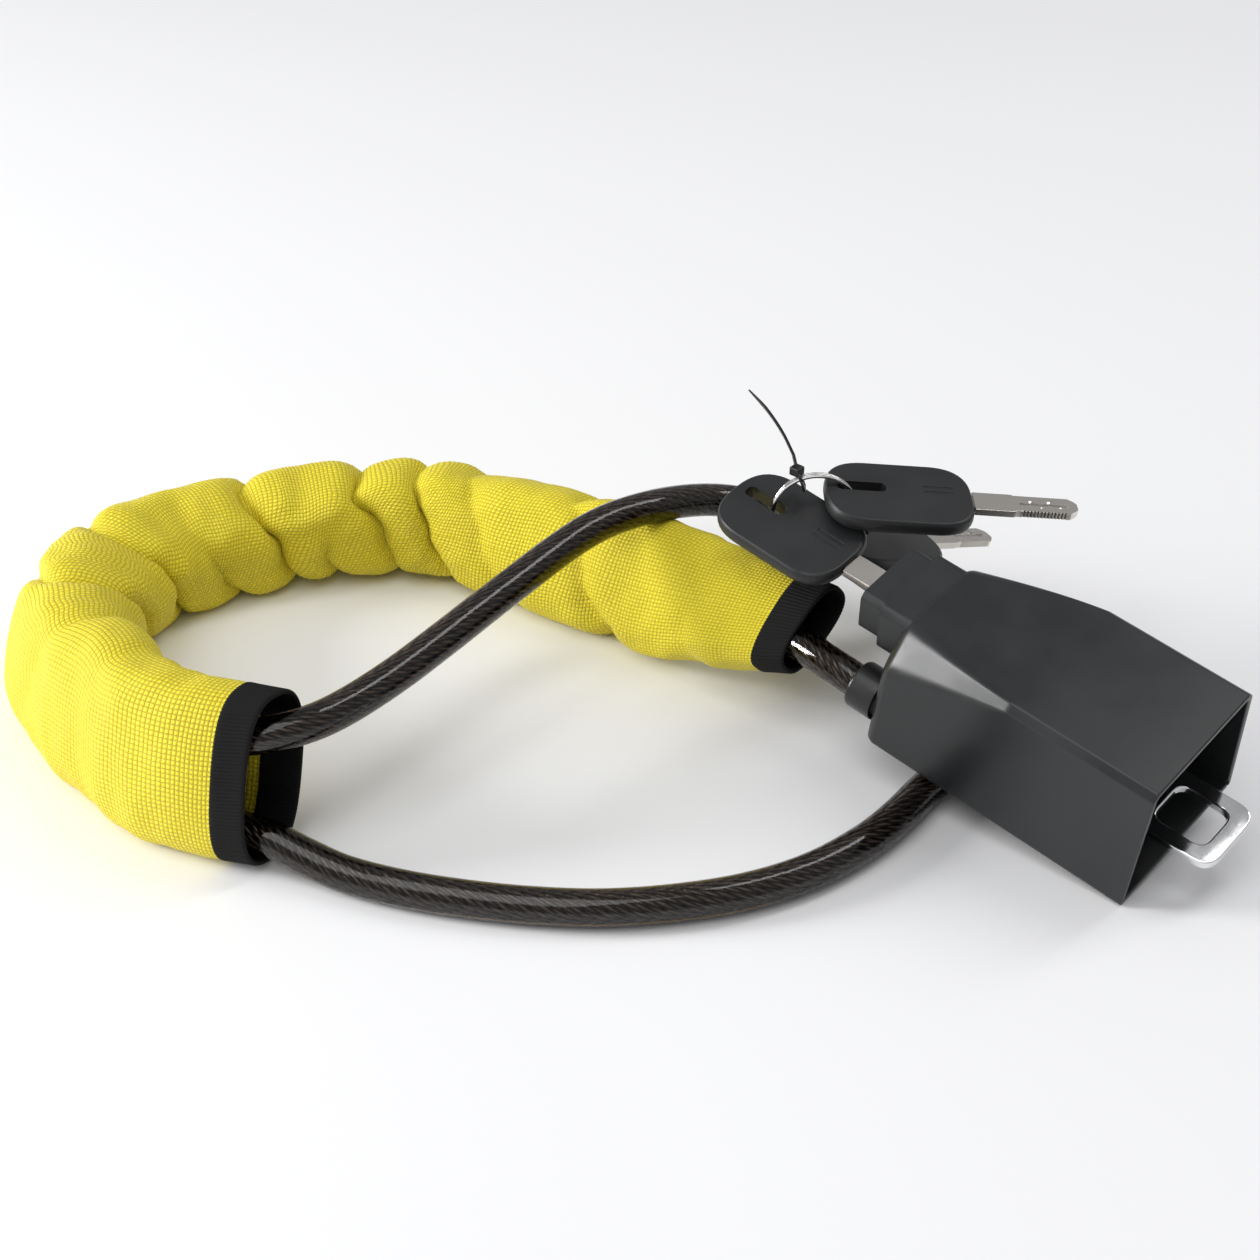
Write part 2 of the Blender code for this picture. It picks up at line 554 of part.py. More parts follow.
def make_sleeve():
    yellow = material("sleeve_yellow", (0.95, 0.83, 0.02), 0.8)
    black = material("binding_black", (0.012, 0.012, 0.013), 0.85)
    frames = sleeve_frames()
    hollow_loft("sleeve", frames, -GAP, -SLEEVE_WALL, yellow)
    for name, near, beyond in (("sleeve_binding_open_end", 0, 1), ("sleeve_binding_lock_end", -1, -2)):
        start, end = frames[near], frames[beyond]
        length = ((end[0] + end[1]) / 2 - (start[0] + start[1]) / 2).length
        share = BINDING_LENGTH / MM / length
        inner_end = (start[0].lerp(end[0], share), start[1].lerp(end[1], share),
                     start[2] + (end[2] - start[2]) * share, start[3].lerp(end[3], share))
        pair = [start, inner_end] if near == 0 else [inner_end, start]
        hollow_loft(name, pair, 0.6 * MM, 0.0, black)


# ---------------------------------------------------------------- lock

def make_push_block():
    """Sliding block that carries the lock cylinder, and the rod that it drives forward."""
    black = material("push_block_black", (0.03, 0.031, 0.034), 0.38)
    block = rounded_bar("push_block", BLOCK_BACK, BLOCK_FRONT, BLOCK_SIZE, BLOCK_CORNER, black)
    axis = LOCK_HEIGHT
    boolean(block, rod("barrel_bore_tool", (-102.0 * MM, 0.0, axis), (-75.5 * MM, 0.0, axis), BLOCK_BORE, black,
                       PUSH, CUTTERS, 32))
    boolean(block, box("cam_space_tool", (-76.3 * MM, -6.5 * MM, 20.0 * MM),
                       (-72.3 * MM, 11.3 * MM, 35.0 * MM), black, PUSH, CUTTERS))
    steel = material("pusher_steel", (0.5, 0.5, 0.52), 0.35, 1.0)
    profile = ((0.0, 23.0), (3.0, 23.0), (3.0, 2.0), (4.4, 2.0), (4.4, 0.3), (0.0, 0.3))
    at = Matrix.Translation((-BLOCK_FRONT, 0.0, axis)) @ Euler((0.0, math.pi / 2, 0.0)).to_matrix().to_4x4()
    turned("pusher_rod", [(radius * MM, height * MM) for radius, height in profile], steel, at, PUSH)
    shoe = material("pusher_shoe_black", (0.03, 0.03, 0.03), 0.5)
    head = box("pusher_shoe", (-50.0 * MM, -10.0 * MM, axis - 4.5 * MM), (-45.5 * MM, 10.0 * MM, axis + 4.5 * MM),
               shoe, PUSH)
    boolean(head, rod("shoe_bore_tool", (-52.0 * MM, 0.0, axis), (-45.7 * MM, 0.0, axis), 3.3 * MM, shoe, PUSH,
                      CUTTERS))
    boolean(head, rod("shoe_hole_tool", (-47.0 * MM, 0.0, axis), (-44.0 * MM, 0.0, axis), 1.5 * MM, shoe, PUSH,
                      CUTTERS, 12))


def make_return_spring():
    """Five turns around the rod, between the chassis and the rod's collar."""
    steel = material("spring_steel", (0.55, 0.55, 0.56), 0.3, 1.0)
    front, back, turns, wire = -56.9 * MM, -66.1 * MM, 5, 0.5 * MM
    count = turns * 12
    points = []
    for i in range(count + 1):
        angle = math.tau * turns * i / count
        points.append((back + (front - back) * i / count, 4.6 * MM * math.cos(angle),
                       LOCK_HEIGHT + 4.6 * MM * math.sin(angle)))
    tube("return_spring", points, wire, steel, 2, parent=HOUSING)


def make_cylinder():
    """Barrel fixed in the block, with the plug and its cam turning inside."""
    brass = material("barrel_brass", (0.55, 0.42, 0.2), 0.35, 1.0)
    axis = LOCK_HEIGHT
    back, front = -BLOCK_BACK + 0.2 * MM, -PLUG_FRONT + 0.2 * MM
    barrel = rod("lock_barrel", (back, 0.0, axis), (front, 0.0, axis), BARREL_RADIUS, brass, PUSH, sides=32)
    boolean(barrel, rod("plug_bore_tool", (back - MM, 0.0, axis), (front + MM, 0.0, axis), BARREL_BORE, brass,
                        PUSH, CUTTERS, 32))
    nickel = material("plug_nickel", (0.6, 0.58, 0.54), 0.25, 1.0)
    plug = rod("lock_plug", (back, 0.0, axis), (front, 0.0, axis), PLUG_RADIUS, nickel, PLUG, sides=32)
    half_width, half_height = BLADE_WIDTHS[1] / 2 + GAP, BLADE_THICKNESS / 2 + GAP
    boolean(plug, box("keyway_tool", (-103.0 * MM, -half_width, axis - half_height),
                      (-80.0 * MM, half_width, axis + half_height), nickel, PLUG, CUTTERS))
    steel = material("cam_steel", (0.5, 0.5, 0.52), 0.35, 1.0)
    cam_back = front + GAP
    cam = box("lock_cam", (cam_back, -3.0 * MM, axis - CAM_LENGTH), (cam_back + CAM_THICKNESS, 3.0 * MM,
              axis + 3.0 * MM), steel, PLUG)
    boolean(cam, rod("cam_hole_tool", (cam_back - MM, 0.0, axis), (cam_back + 3 * MM, 0.0, axis), 1.3 * MM, steel,
                     PLUG, CUTTERS, 16))
    boolean(plug, rod("cam_thread_tool", (-79.0 * MM, 0.0, axis), (front + MM, 0.0, axis), 1.3 * MM, nickel, PLUG,
                      CUTTERS, 16))
    rod("cam_screw", (-78.6 * MM, 0.0, axis), (cam_back + CAM_THICKNESS + 0.1 * MM, 0.0, axis), 1.0 * MM, steel,
        PLUG, sides=12)


# ---------------------------------------------------------------- keys and ring

def make_key(name, holder, matrix):
    """Key with its bow's outer end at x = 0 of the given frame, pointing along +X, faces up."""
    nickel = material(name + "_nickel", (0.72, 0.68, 0.62), 0.22, 1.0)
    black = material(name + "_plastic", (0.022, 0.023, 0.025), 0.4)
    bow_outline = rounded_outline(BOW_LENGTH / 2, BOW_WIDTH / 2, 9.5 * MM, (BOW_LENGTH / 2, 0.0))
    slot_start, slot_end, slot_width = BOW_SLOT
    slot = rounded_outline((slot_end - slot_start) / 2, slot_width / 2, 1.2 * MM,
                           ((slot_start + slot_end) / 2, BOW_SLOT_OFFSET))
    bow = flat_piece(name + "_bow", (bow_outline, slot), BOW_THICKNESS, black, matrix, holder)
    tang = (2.5 * MM, 0.8 * MM)
    pocket = box(name + "_pocket_tool", (BOW_LENGTH - TANG_LENGTH - GAP, -tang[0] - GAP, -tang[1] - GAP),
                 (BOW_LENGTH + MM, tang[0] + GAP, tang[1] + GAP), black, holder, CUTTERS)
    pocket.matrix_basis = matrix
    boolean(bow, pocket)
    base, step, tip = BOW_LENGTH + GAP, BOW_LENGTH + BLADE_STEP, BOW_LENGTH + BLADE_LENGTH
    wide, narrow = BLADE_WIDTHS[0] / 2, BLADE_WIDTHS[1] / 2
    half = [(base - TANG_LENGTH, tang[0]), (base, tang[0]), (base, wide), (step, wide), (step + 0.8 * MM, narrow),
            (tip - 2.5 * MM, narrow), (tip - 0.8 * MM, narrow - 1.2 * MM), (tip, 1.2 * MM)]
    outline = [(x, -y) for x, y in half] + [(x, y) for x, y in reversed(half)]
    blade = flat_piece(name + "_blade", (outline,), BLADE_THICKNESS, nickel, matrix, holder)
    for side in (1, -1):
        inner, outer = sorted((side * tang[1], side * 2.0 * MM))
        relief = box(f"{name}_tang_tool_{side}", (BOW_LENGTH - TANG_LENGTH - MM, -5 * MM, inner),
                     (base, 5 * MM, outer), nickel, holder, CUTTERS)
        relief.matrix_basis = matrix
        boolean(blade, relief)


def ring_point(angle):
    """Point of the key ring at an angle above its horizontal, in degrees."""
    turn = math.radians(angle)
    across = Vector((math.cos(RING_HEADING), math.sin(RING_HEADING), 0.0))
    return Vector(RING_CENTRE) + RING_RADIUS * (across * math.cos(turn) + Vector((0, 0, 1)) * math.sin(turn))


def make_keys():
    lock_axis = Matrix.Translation((-KEY_1_BACK, 0.0, LOCK_HEIGHT))
    make_key("key_1", HOUSING, lock_axis)
    for name, pose in LOOSE_KEYS.items():
        heading, rise, roll = (math.radians(pose[part]) for part in ("heading", "rise", "roll"))
        turn = Euler((0.0, 0.0, heading)).to_matrix() @ Euler((0.0, -rise, 0.0)).to_matrix() \
            @ Euler((roll, 0.0, 0.0)).to_matrix()
        from_slot = Matrix.Translation((-RING_IN_SLOT, -BOW_SLOT_OFFSET, 0.0))
        make_key(name, RING_HUB, Matrix.Translation(ring_point(pose["ring_angle"])) @ turn.to_4x4() @ from_slot)


def make_ring():
    nickel = material("ring_nickel", (0.75, 0.74, 0.72), 0.15, 1.0)
    bpy.ops.mesh.primitive_torus_add(major_radius=RING_RADIUS, minor_radius=RING_WIRE, major_segments=64,
                                     minor_segments=8)
    ring = finish(bpy.context.object, "key_ring", nickel, RING)
    turn = Euler((math.pi / 2, 0.0, RING_HEADING)).to_matrix().to_4x4()
    ring.matrix_basis = Matrix.Translation(RING_CENTRE) @ turn


def make_cable_tie():
    """Thin tie looped round the ring, with its tail standing up."""
    nylon = material("tie_nylon", (0.015, 0.015, 0.016), 0.5)
    on_ring = ring_point(TIE_RING_ANGLE)
    angle = math.radians(TIE_RING_ANGLE)
    across = Vector((math.cos(RING_HEADING), math.sin(RING_HEADING), 0.0))
    outward = across * math.cos(angle) + Vector((0, 0, 1)) * math.sin(angle)
    side = Vector((-math.sin(RING_HEADING), math.cos(RING_HEADING), 0.0))
    loop = []
    for i in range(21):
        turn = math.radians(100.0 + 310.0 * i / 20)
        loop.append(on_ring + (outward * math.sin(turn) + side * math.cos(turn)) * TIE_LOOP_RADIUS)
    tail = smooth_route(TIE_ROUTE, 3.0 * MM)
    tie = tube("cable_tie", tail + loop, TIE_RADIUS, nylon, 2, parent=RING_HUB)
    head_at = loop[0]
    half = Vector((2.2, 2.2, 1.6)) * MM
    head = box("tie_head_tool", head_at - half, head_at + half, nylon, RING_HUB, CUTTERS)
    boolean(tie, head, "UNION")


# ---------------------------------------------------------------- assembly

def moving_frame(name, at, parent=None):
    """Empty on a joint's axis. What hangs from it keeps the coordinates of the empty's own parent."""
    frame = bpy.data.objects.new(name, None)
    PART.objects.link(frame)
    frame.parent = parent
    frame.matrix_basis = Matrix.Translation(at)
    MOVING.append(frame)
    return frame


clear_scene()
PART = new_collection("seat_belt_cable_lock")
CUTTERS = new_collection("cutters")
MOVING = []
HOUSING = bpy.data.objects.new("housing_frame", None)
PART.objects.link(HOUSING)
HOUSING_TURN = Euler((HOUSING_ROLL, HOUSING_PITCH, 0.0)).to_matrix().to_4x4()
HOUSING.matrix_local = Matrix.Translation(HOUSING_AT) @ HOUSING_TURN
PUSH = moving_frame("push_frame", (-BLOCK_BACK, 0.0, LOCK_HEIGHT), HOUSING)
PLUG = moving_frame("plug_frame", (-BLOCK_BACK, 0.0, LOCK_HEIGHT), HOUSING)
RING = moving_frame("ring_frame", ring_point(RING_IN_KEY_1))
RING_HUB = moving_frame("ring_hub_frame", RING_CENTRE)
bpy.context.view_layer.update()

make_shroud()
make_fasteners()
make_chassis()
make_tongue()
make_gland()
make_cable()
make_sleeve()
make_push_block()
make_return_spring()
make_cylinder()
make_keys()
make_ring()
make_cable_tie()
bpy.context.view_layer.update()
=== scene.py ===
"""Looks of the seat-belt buckle cable lock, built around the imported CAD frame. Units are metres.

The housing's own frame has its origin in the middle of the mouth's bottom edge, +X out of the mouth.
"""

import json
import math

import bmesh
import bpy
import numpy as np
from mathutils import Matrix, Vector, noise


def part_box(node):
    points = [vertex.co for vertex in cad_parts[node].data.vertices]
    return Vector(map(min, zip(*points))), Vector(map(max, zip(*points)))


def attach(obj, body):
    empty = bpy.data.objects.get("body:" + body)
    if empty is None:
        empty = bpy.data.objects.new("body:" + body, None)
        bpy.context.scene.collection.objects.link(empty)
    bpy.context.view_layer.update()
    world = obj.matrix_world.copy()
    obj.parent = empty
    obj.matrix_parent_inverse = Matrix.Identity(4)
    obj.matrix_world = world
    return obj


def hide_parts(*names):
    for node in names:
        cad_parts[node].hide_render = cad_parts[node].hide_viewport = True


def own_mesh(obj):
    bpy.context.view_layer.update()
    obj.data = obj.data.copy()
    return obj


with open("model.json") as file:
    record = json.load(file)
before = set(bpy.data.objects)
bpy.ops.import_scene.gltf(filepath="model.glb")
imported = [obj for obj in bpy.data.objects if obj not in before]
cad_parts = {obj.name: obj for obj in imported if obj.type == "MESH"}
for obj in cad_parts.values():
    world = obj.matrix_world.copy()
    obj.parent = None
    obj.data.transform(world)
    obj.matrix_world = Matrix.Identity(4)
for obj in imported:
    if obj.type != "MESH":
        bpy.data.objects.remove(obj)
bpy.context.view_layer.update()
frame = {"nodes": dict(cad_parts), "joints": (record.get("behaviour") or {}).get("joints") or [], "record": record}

NODES = frame["nodes"]
JOINTS = {joint["name"]: joint for joint in frame["joints"]}
MOUNTS = {mount["name"]: mount for mount in frame["record"]["mounts"]}
MM = 0.001
TAU = math.tau

# Housing frame, from the push block's slide and the shroud's underside.
AHEAD = Vector(JOINTS["push_slide"]["axis"]).normalized()
UP = -Vector(MOUNTS["shroud_underside"]["axis"]).normalized()
SIDE = UP.cross(AHEAD)
UNDERSIDE_POINT = Vector((-30.0, 5.0, 0.0)) * MM
HOUSING_TURN = Matrix((AHEAD, SIDE, UP)).transposed()
HOUSING_AT = Vector(MOUNTS["shroud_underside"]["pos_m"]) - HOUSING_TURN @ UNDERSIDE_POINT
HOUSING = Matrix.Translation(HOUSING_AT) @ HOUSING_TURN.to_4x4()

# Ring frame: its centre and normal carry the loose keys and the tie.
RING_CENTRE = Vector(JOINTS["upper_key_swing"]["pos_m"])
RING_NORMAL = Vector(JOINTS["upper_key_swing"]["axis"]).normalized()
STRAIGHT_UP = Vector((0, 0, 1))
RING_ACROSS = STRAIGHT_UP.cross(RING_NORMAL)
RING_RADIUS = 12.0 * MM
RING_HALF_WIDE = 0.40 * MM
RING_HALF_DEEP = 0.62 * MM
RING_STEP_OVER = 0.42 * MM

# Keys: which body each one rides on, and sizes in each key's own frame, from the bow's free end.
KEY_BODIES = {1: "key_in_lock", 2: "upper_key", 3: "lower_key"}
BOW_FREE_CORNER = 13.0 * MM
BOW_BLADE_CORNER = 11.0 * MM
RING_SLOT_ENDS = (3.5 * MM, 17.5 * MM)
RING_SLOT_SIDES = (0.1 * MM, 4.0 * MM)
BOW_LINE_ENDS = (28.5 * MM, 37.5 * MM)
BOW_LINE_OFFSETS = (1.2 * MM, 3.4 * MM)
BOW_LINE_HALF = 0.45 * MM
TANG_LENGTH = 6.3 * MM
TANG_HALF_WIDTH = 2.8 * MM
BLADE_HALF_THICK = 1.1 * MM

# The bow's round edge: share of its half thickness, and how far in from the outline in millimetres.
BOW_EDGE = ((1.0, 1.1), (0.93, 0.62), (0.72, 0.24), (0.4, 0.05))

# Dimples: how far along the blade, how far across it and how wide, in millimetres.
BLADE_DIMPLES = ((17.0, 0.9, 1.0), (20.0, -1.2, 0.9), (22.5, 1.0, 1.25), (25.6, -0.9, 1.0))
BLADE_TRACK = (13.5 * MM, 28.0 * MM)
EDGE_CUTS = 13
FIRST_EDGE_CUT = 14.5 * MM
EDGE_CUT_PITCH = 1.0 * MM
EDGE_CUT_OFFSET = 3.55 * MM

# Tie: its tail's route, and where its loop holds the ring.
TIE_ROUTE = (
    (-0.0819, -0.0195, 0.0895), (-0.0759, -0.0187, 0.0850), (-0.0706, -0.0182, 0.0795),
    (-0.0664, -0.0183, 0.0740),
)
TIE_RING_ANGLE = math.radians(112.0)
TIE_LOOP_RADIUS = 3.2 * MM
TIE_STEP = 0.3 * MM
TIE_HALF_WIDE = 0.85 * MM
TIE_HALF_THICK = 0.42 * MM
TIE_TAPER = 9.0 * MM
TIE_HEAD_HALF = Vector((1.6, 1.6, 1.3)) * MM

# Cable
CABLE_RADIUS = 5.0 * MM
ROPE_RADIUS = 3.0 * MM
STRANDS = 8
STRAND_RADIUS = 0.82 * MM
STRAND_PITCH = 22.0 * MM
STRAND_SIDES = 8
JACKET_STEP = 2.5 * MM
ROPE_STEP = 2.0 * MM
CABLE_ROUTE = (
    (-0.0182, -0.0396, 0.0255), (-0.0251, -0.0396, 0.0266), (-0.0354, -0.0389, 0.0279),
    (-0.0464, -0.0375, 0.0282), (-0.0604, -0.0360, 0.0265), (-0.0774, -0.0347, 0.0227),
    (-0.0994, -0.0345, 0.0185), (-0.1274, -0.0355, 0.0165), (-0.1574, -0.0380, 0.0155),
    (-0.1854, -0.0455, 0.0150), (-0.2074, -0.0645, 0.0150), (-0.2234, -0.0885, 0.0150),
    (-0.2324, -0.1175, 0.0150), (-0.2264, -0.1445, 0.0150), (-0.2124, -0.1645, 0.0150),
    (-0.1974, -0.1751, 0.0148), (-0.1864, -0.1779, 0.01475), (-0.1754, -0.1797, 0.01475),
    (-0.1644, -0.1815, 0.01475), (-0.1534, -0.1829, 0.0140), (-0.1414, -0.1841, 0.0112),
    (-0.1244, -0.1811, 0.0099), (-0.1134, -0.1775, 0.0087), (-0.1034, -0.1749, 0.0067),
    (-0.0919, -0.1718, 0.0052), (-0.0771, -0.1664, 0.0052), (-0.0623, -0.1588, 0.0052),
    (-0.0474, -0.1495, 0.0052), (-0.0326, -0.1380, 0.0052), (-0.0194, -0.1240, 0.0052),
    (-0.0084, -0.1085, 0.0052), (-0.0009, -0.0915, 0.0052), (0.0026, -0.0735, 0.0052),
    (0.0029, -0.0585, 0.0052), (0.0018, -0.0445, 0.0052), (0.0016, -0.0325, 0.0055),
    (-0.0009, -0.0195, 0.0080), (-0.0074, -0.0085, 0.0120), (-0.0164, -0.0005, 0.0165),
    (-0.0274, 0.0040, 0.0210), (-0.0404, 0.0057, 0.0245), (-0.0564, 0.0073, 0.0272),
    (-0.0714, 0.0100, 0.0288), (-0.0844, 0.0110, 0.0303), (-0.0964, 0.0083, 0.0330),
    (-0.1044, -0.0015, 0.0370), (-0.1079, -0.0165, 0.0420), (-0.1097, -0.0333, 0.0460),
    (-0.1124, -0.0485, 0.0467), (-0.1133, -0.0645, 0.0455), (-0.1124, -0.0905, 0.0430),
    (-0.1120, -0.1135, 0.0400), (-0.1118, -0.1315, 0.0380), (-0.1122, -0.1485, 0.0370),
    (-0.1144, -0.1605, 0.0365), (-0.1209, -0.1710, 0.0355), (-0.1319, -0.1785, 0.0332),
    (-0.1454, -0.1823, 0.0298), (-0.1574, -0.1821, 0.0272), (-0.1654, -0.1814, 0.0263),
    (-0.1754, -0.1797, 0.02625), (-0.1864, -0.1778, 0.02625),
)

# Sleeve: cross-sections from the open end to the housing's end: bottom point, top point, half thickness.
SLEEVE_SECTIONS = (
    ((-0.1144, -0.1795, 0.0019), (-0.1194, -0.1655, 0.0470), 0.0120),
    ((-0.1434, -0.1875, 0.0012), (-0.1464, -0.1785, 0.0460), 0.0115),
    ((-0.1754, -0.1850, 0.0012), (-0.1764, -0.1755, 0.0440), 0.0115),
    ((-0.2064, -0.1745, 0.0016), (-0.2044, -0.1645, 0.0390), 0.0140),
    ((-0.2324, -0.1485, 0.0018), (-0.2254, -0.1375, 0.0340), 0.0170),
    ((-0.2394, -0.1195, 0.0018), (-0.2294, -0.1135, 0.0320), 0.0170),
    ((-0.2294, -0.0895, 0.0018), (-0.2204, -0.0865, 0.0320), 0.0160),
    ((-0.2114, -0.0655, 0.0016), (-0.2044, -0.0605, 0.0330), 0.0150),
    ((-0.1884, -0.0475, 0.0016), (-0.1834, -0.0395, 0.0340), 0.0140),
    ((-0.1594, -0.0425, 0.0016), (-0.1564, -0.0315, 0.0350), 0.0125),
    ((-0.1294, -0.0405, 0.0018), (-0.1284, -0.0255, 0.0370), 0.0110),
    ((-0.0994, -0.0405, 0.0050), (-0.0994, -0.0225, 0.0375), 0.0092),
    ((-0.0714, -0.0425, 0.0140), (-0.0704, -0.0215, 0.0375), 0.0078),
    ((-0.0474, -0.0435, 0.0225), (-0.0454, -0.0215, 0.0395), 0.0066),
)
SLEEVE_THICKNESS = 0.9 * MM
SLEEVE_POINTS_ROUND = 96
SLEEVE_STEP = 2.72 * MM
SLEEVE_SQUARENESS = 0.72
SLEEVE_FLOOR_GAP = 0.3 * MM
CALM_LENGTH = 0.03
MOUTH_SLANT = 2.2 * MM
BINDING_LENGTH = 10.5 * MM
BINDING_THICKNESS = 1.3 * MM
BINDING_ROWS = 12
RIB_PITCH = 1.0 * MM
RIB_HEIGHT = 0.09 * MM
POINTS_PER_RIB = 6

# Creases across the bunched cloth: where each crosses the top and the bottom of the sleeve, its depth, its
# width, and its share of that depth at the top and at the bottom.
SLEEVE_FOLDS = (
    (0.046, 0.058, 0.0014, 0.0120, 0.8, 0.4), (0.072, 0.086, 0.0034, 0.0120, 1.0, 0.4),
    (0.100, 0.146, 0.0112, 0.0110, 0.7, 1.0), (0.134, 0.166, 0.0104, 0.0100, 0.6, 1.0),
    (0.160, 0.188, 0.0084, 0.0090, 0.1, 1.0), (0.183, 0.206, 0.0088, 0.0095, 1.0, 0.7),
    (0.203, 0.220, 0.0080, 0.0085, 0.0, 1.0), (0.218, 0.240, 0.0084, 0.0095, 1.0, 0.4),
    (0.236, 0.262, 0.0088, 0.0090, 0.8, 0.9), (0.256, 0.285, 0.0040, 0.0130, 1.0, 0.3),
    (0.297, 0.320, 0.0052, 0.0120, 0.7, 1.0), (0.345, 0.352, 0.0020, 0.0140, 0.5, 1.0),
)
FOLD_OVERHANG = 0.30


# ---------------------------------------------------------------- geometry helpers

def new_object(name, mesh, matrix=None):
    """An object in the scene from mesh or curve data."""
    obj = bpy.data.objects.new(name, mesh)
    bpy.context.scene.collection.objects.link(obj)
    if matrix is not None:
        obj.matrix_world = matrix
    return obj


def from_bmesh(name, bm, matrix=None):
    """An object from edited geometry, with every face turned outward."""
    bmesh.ops.recalc_face_normals(bm, faces=bm.faces)
    mesh = bpy.data.meshes.new(name)
    bm.to_mesh(mesh)
    bm.free()
    return new_object(name, mesh, matrix)


def join_rings(bm, row, following):
    """One face between each two neighbours of two rings."""
    count = len(row)
    for i in range(count):
        j = (i + 1) % count
        bm.faces.new((row[i], row[j], following[j], following[i]))


def skin(name, rings, ends="capped"):
    """Faces between rings of equal numbers of points; the ends are capped, open or joined to each other."""
    bm = bmesh.new()
    rows = [[bm.verts.new(point) for point in ring] for ring in rings]
    for row, following in zip(rows, rows[1:]):
        join_rings(bm, row, following)
    if ends == "joined":
        join_rings(bm, rows[-1], rows[0])
    if ends == "capped":
        bm.faces.new(rows[0])
        bm.faces.new(rows[-1])
    return from_bmesh(name, bm)


def box(name, low, high, matrix=None):
    """A box between two corners."""
    low, high = Vector(low), Vector(high)
    bm = bmesh.new()
    bmesh.ops.create_cube(bm, size=1.0)
    bmesh.ops.scale(bm, vec=high - low, verts=bm.verts)
    bmesh.ops.translate(bm, vec=(low + high) / 2, verts=bm.verts)
    return from_bmesh(name, bm, matrix)


def cylinder(name, start, end, radius, sides=32, end_radius=None):
    """A cylinder or cone between two points."""
    start, end = Vector(start), Vector(end)
    bm = bmesh.new()
    bmesh.ops.create_cone(bm, cap_ends=True, segments=sides, radius1=radius,
                          radius2=radius if end_radius is None else end_radius, depth=(end - start).length)
    turn = (end - start).to_track_quat("Z", "Y").to_matrix().to_4x4()
    bmesh.ops.transform(bm, matrix=Matrix.Translation((start + end) / 2) @ turn, verts=bm.verts)
    return from_bmesh(name, bm)


def apply_modifiers(obj):
    """Bake the object's modifiers into a mesh of its own."""
    evaluated = obj.evaluated_get(bpy.context.evaluated_depsgraph_get())
    mesh = bpy.data.meshes.new_from_object(evaluated)
    obj.modifiers.clear()
    obj.data = mesh
    return obj


def cut(obj, tools, operation="DIFFERENCE"):
    """Exact Boolean with each tool, applied at once; the tools are then removed."""
    for tool in tools:
        modifier = obj.modifiers.new("cut", "BOOLEAN")
        modifier.operation = operation
        modifier.solver = "EXACT"
        modifier.object = tool
    bpy.context.view_layer.update()
    apply_modifiers(obj)
    for tool in tools:
        bpy.data.objects.remove(tool, do_unlink=True)
    return obj


def soften(obj, width, segments=3, angle=32.0):
    """Round every edge sharper than an angle, and shade the rest smooth."""
    bm = bmesh.new()
    bm.from_mesh(obj.data)
    bmesh.ops.remove_doubles(bm, verts=bm.verts, dist=0.00001)
    bmesh.ops.dissolve_limit(bm, angle_limit=math.radians(0.6), verts=bm.verts, edges=bm.edges)
    bm.to_mesh(obj.data)
    bm.free()
    bevel = obj.modifiers.new("soft_edges", "BEVEL")
    bevel.width = width
    bevel.segments = segments
    bevel.limit_method = "ANGLE"
    bevel.angle_limit = math.radians(angle)
    bevel.miter_outer = "MITER_ARC"
    bpy.context.view_layer.update()
    apply_modifiers(obj)
    return smooth(obj)


def smooth(obj, angle=30.0):
    """Smooth shading between small angles, led by the large faces, so flat faces look flat."""
    obj.data.shade_smooth()
    obj.data.set_sharp_from_angle(angle=math.radians(angle))
    weighted = obj.modifiers.new("flat_faces", "WEIGHTED_NORMAL")
    weighted.keep_sharp = True
    weighted.weight = 100
    bpy.context.view_layer.update()
    return apply_modifiers(obj)


def cad_copy(node):
    """A piece that starts from a CAD node's own mesh."""
    return new_object(node + "_shape", NODES[node].data.copy())


def place(obj, material, body, node):
    """Give a finished piece its material and its body, and hide the CAD node it stands for."""
    obj.data.materials.clear()
    obj.data.materials.append(material)
    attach(obj, body)
    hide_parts(node)
    return obj


def smooth_route(points, step):
    """Evenly spaced points along a Catmull-Rom curve through the given ones."""
    places = [np.array(point, float) for point in points]
    places = [2 * places[0] - places[1]] + places + [2 * places[-1] - places[-2]]
    fine = []
    for a, b, c, d in zip(places, places[1:], places[2:], places[3:]):
        for t in np.linspace(0, 1, 12, endpoint=False):
            fine.append(0.5 * (2 * b + (c - a) * t + (2 * a - 5 * b + 4 * c - d) * t ** 2
                               + (3 * b - a - 3 * c + d) * t ** 3))
    fine.append(places[-2])
    return respaced(np.array(fine), step)


def unit(rows):
    """Each row divided by its length."""
    return rows / np.linalg.norm(rows, axis=1)[:, None]


def distances(line):
    """How far along the line each of its points is."""
    return np.concatenate([[0], np.cumsum(np.linalg.norm(np.diff(line, axis=0), axis=1))])


def respaced(line, step):
    """The line again with its points about one step apart."""
    along = distances(line)
    at = np.linspace(0, along[-1], max(2, round(along[-1] / step)) + 1)
    return np.stack([np.interp(at, along, line[:, k]) for k in range(line.shape[1])], axis=1)


def line_length(line):
    """How long the whole line is."""
    return float(np.linalg.norm(np.diff(line, axis=0), axis=1).sum())


def turned_arc(centre, first, second, angles):
    """Points round a centre at angles from one radius towards another."""
    return np.array([centre + first * math.cos(angle) + second * math.sin(angle) for angle in angles])


def carried_frames(line):
    """Side and up at each point of a line, carried along it without twist."""
    tangents = unit(np.gradient(line, axis=0))
    side = np.cross(tangents[0], (0.0, 0.0, 1.0))
    sides = []
    for tangent in tangents:
        side = side - tangent * side.dot(tangent)
        side /= np.linalg.norm(side)
        sides.append(side.copy())
    sides = np.array(sides)
    return sides, np.cross(tangents, sides)


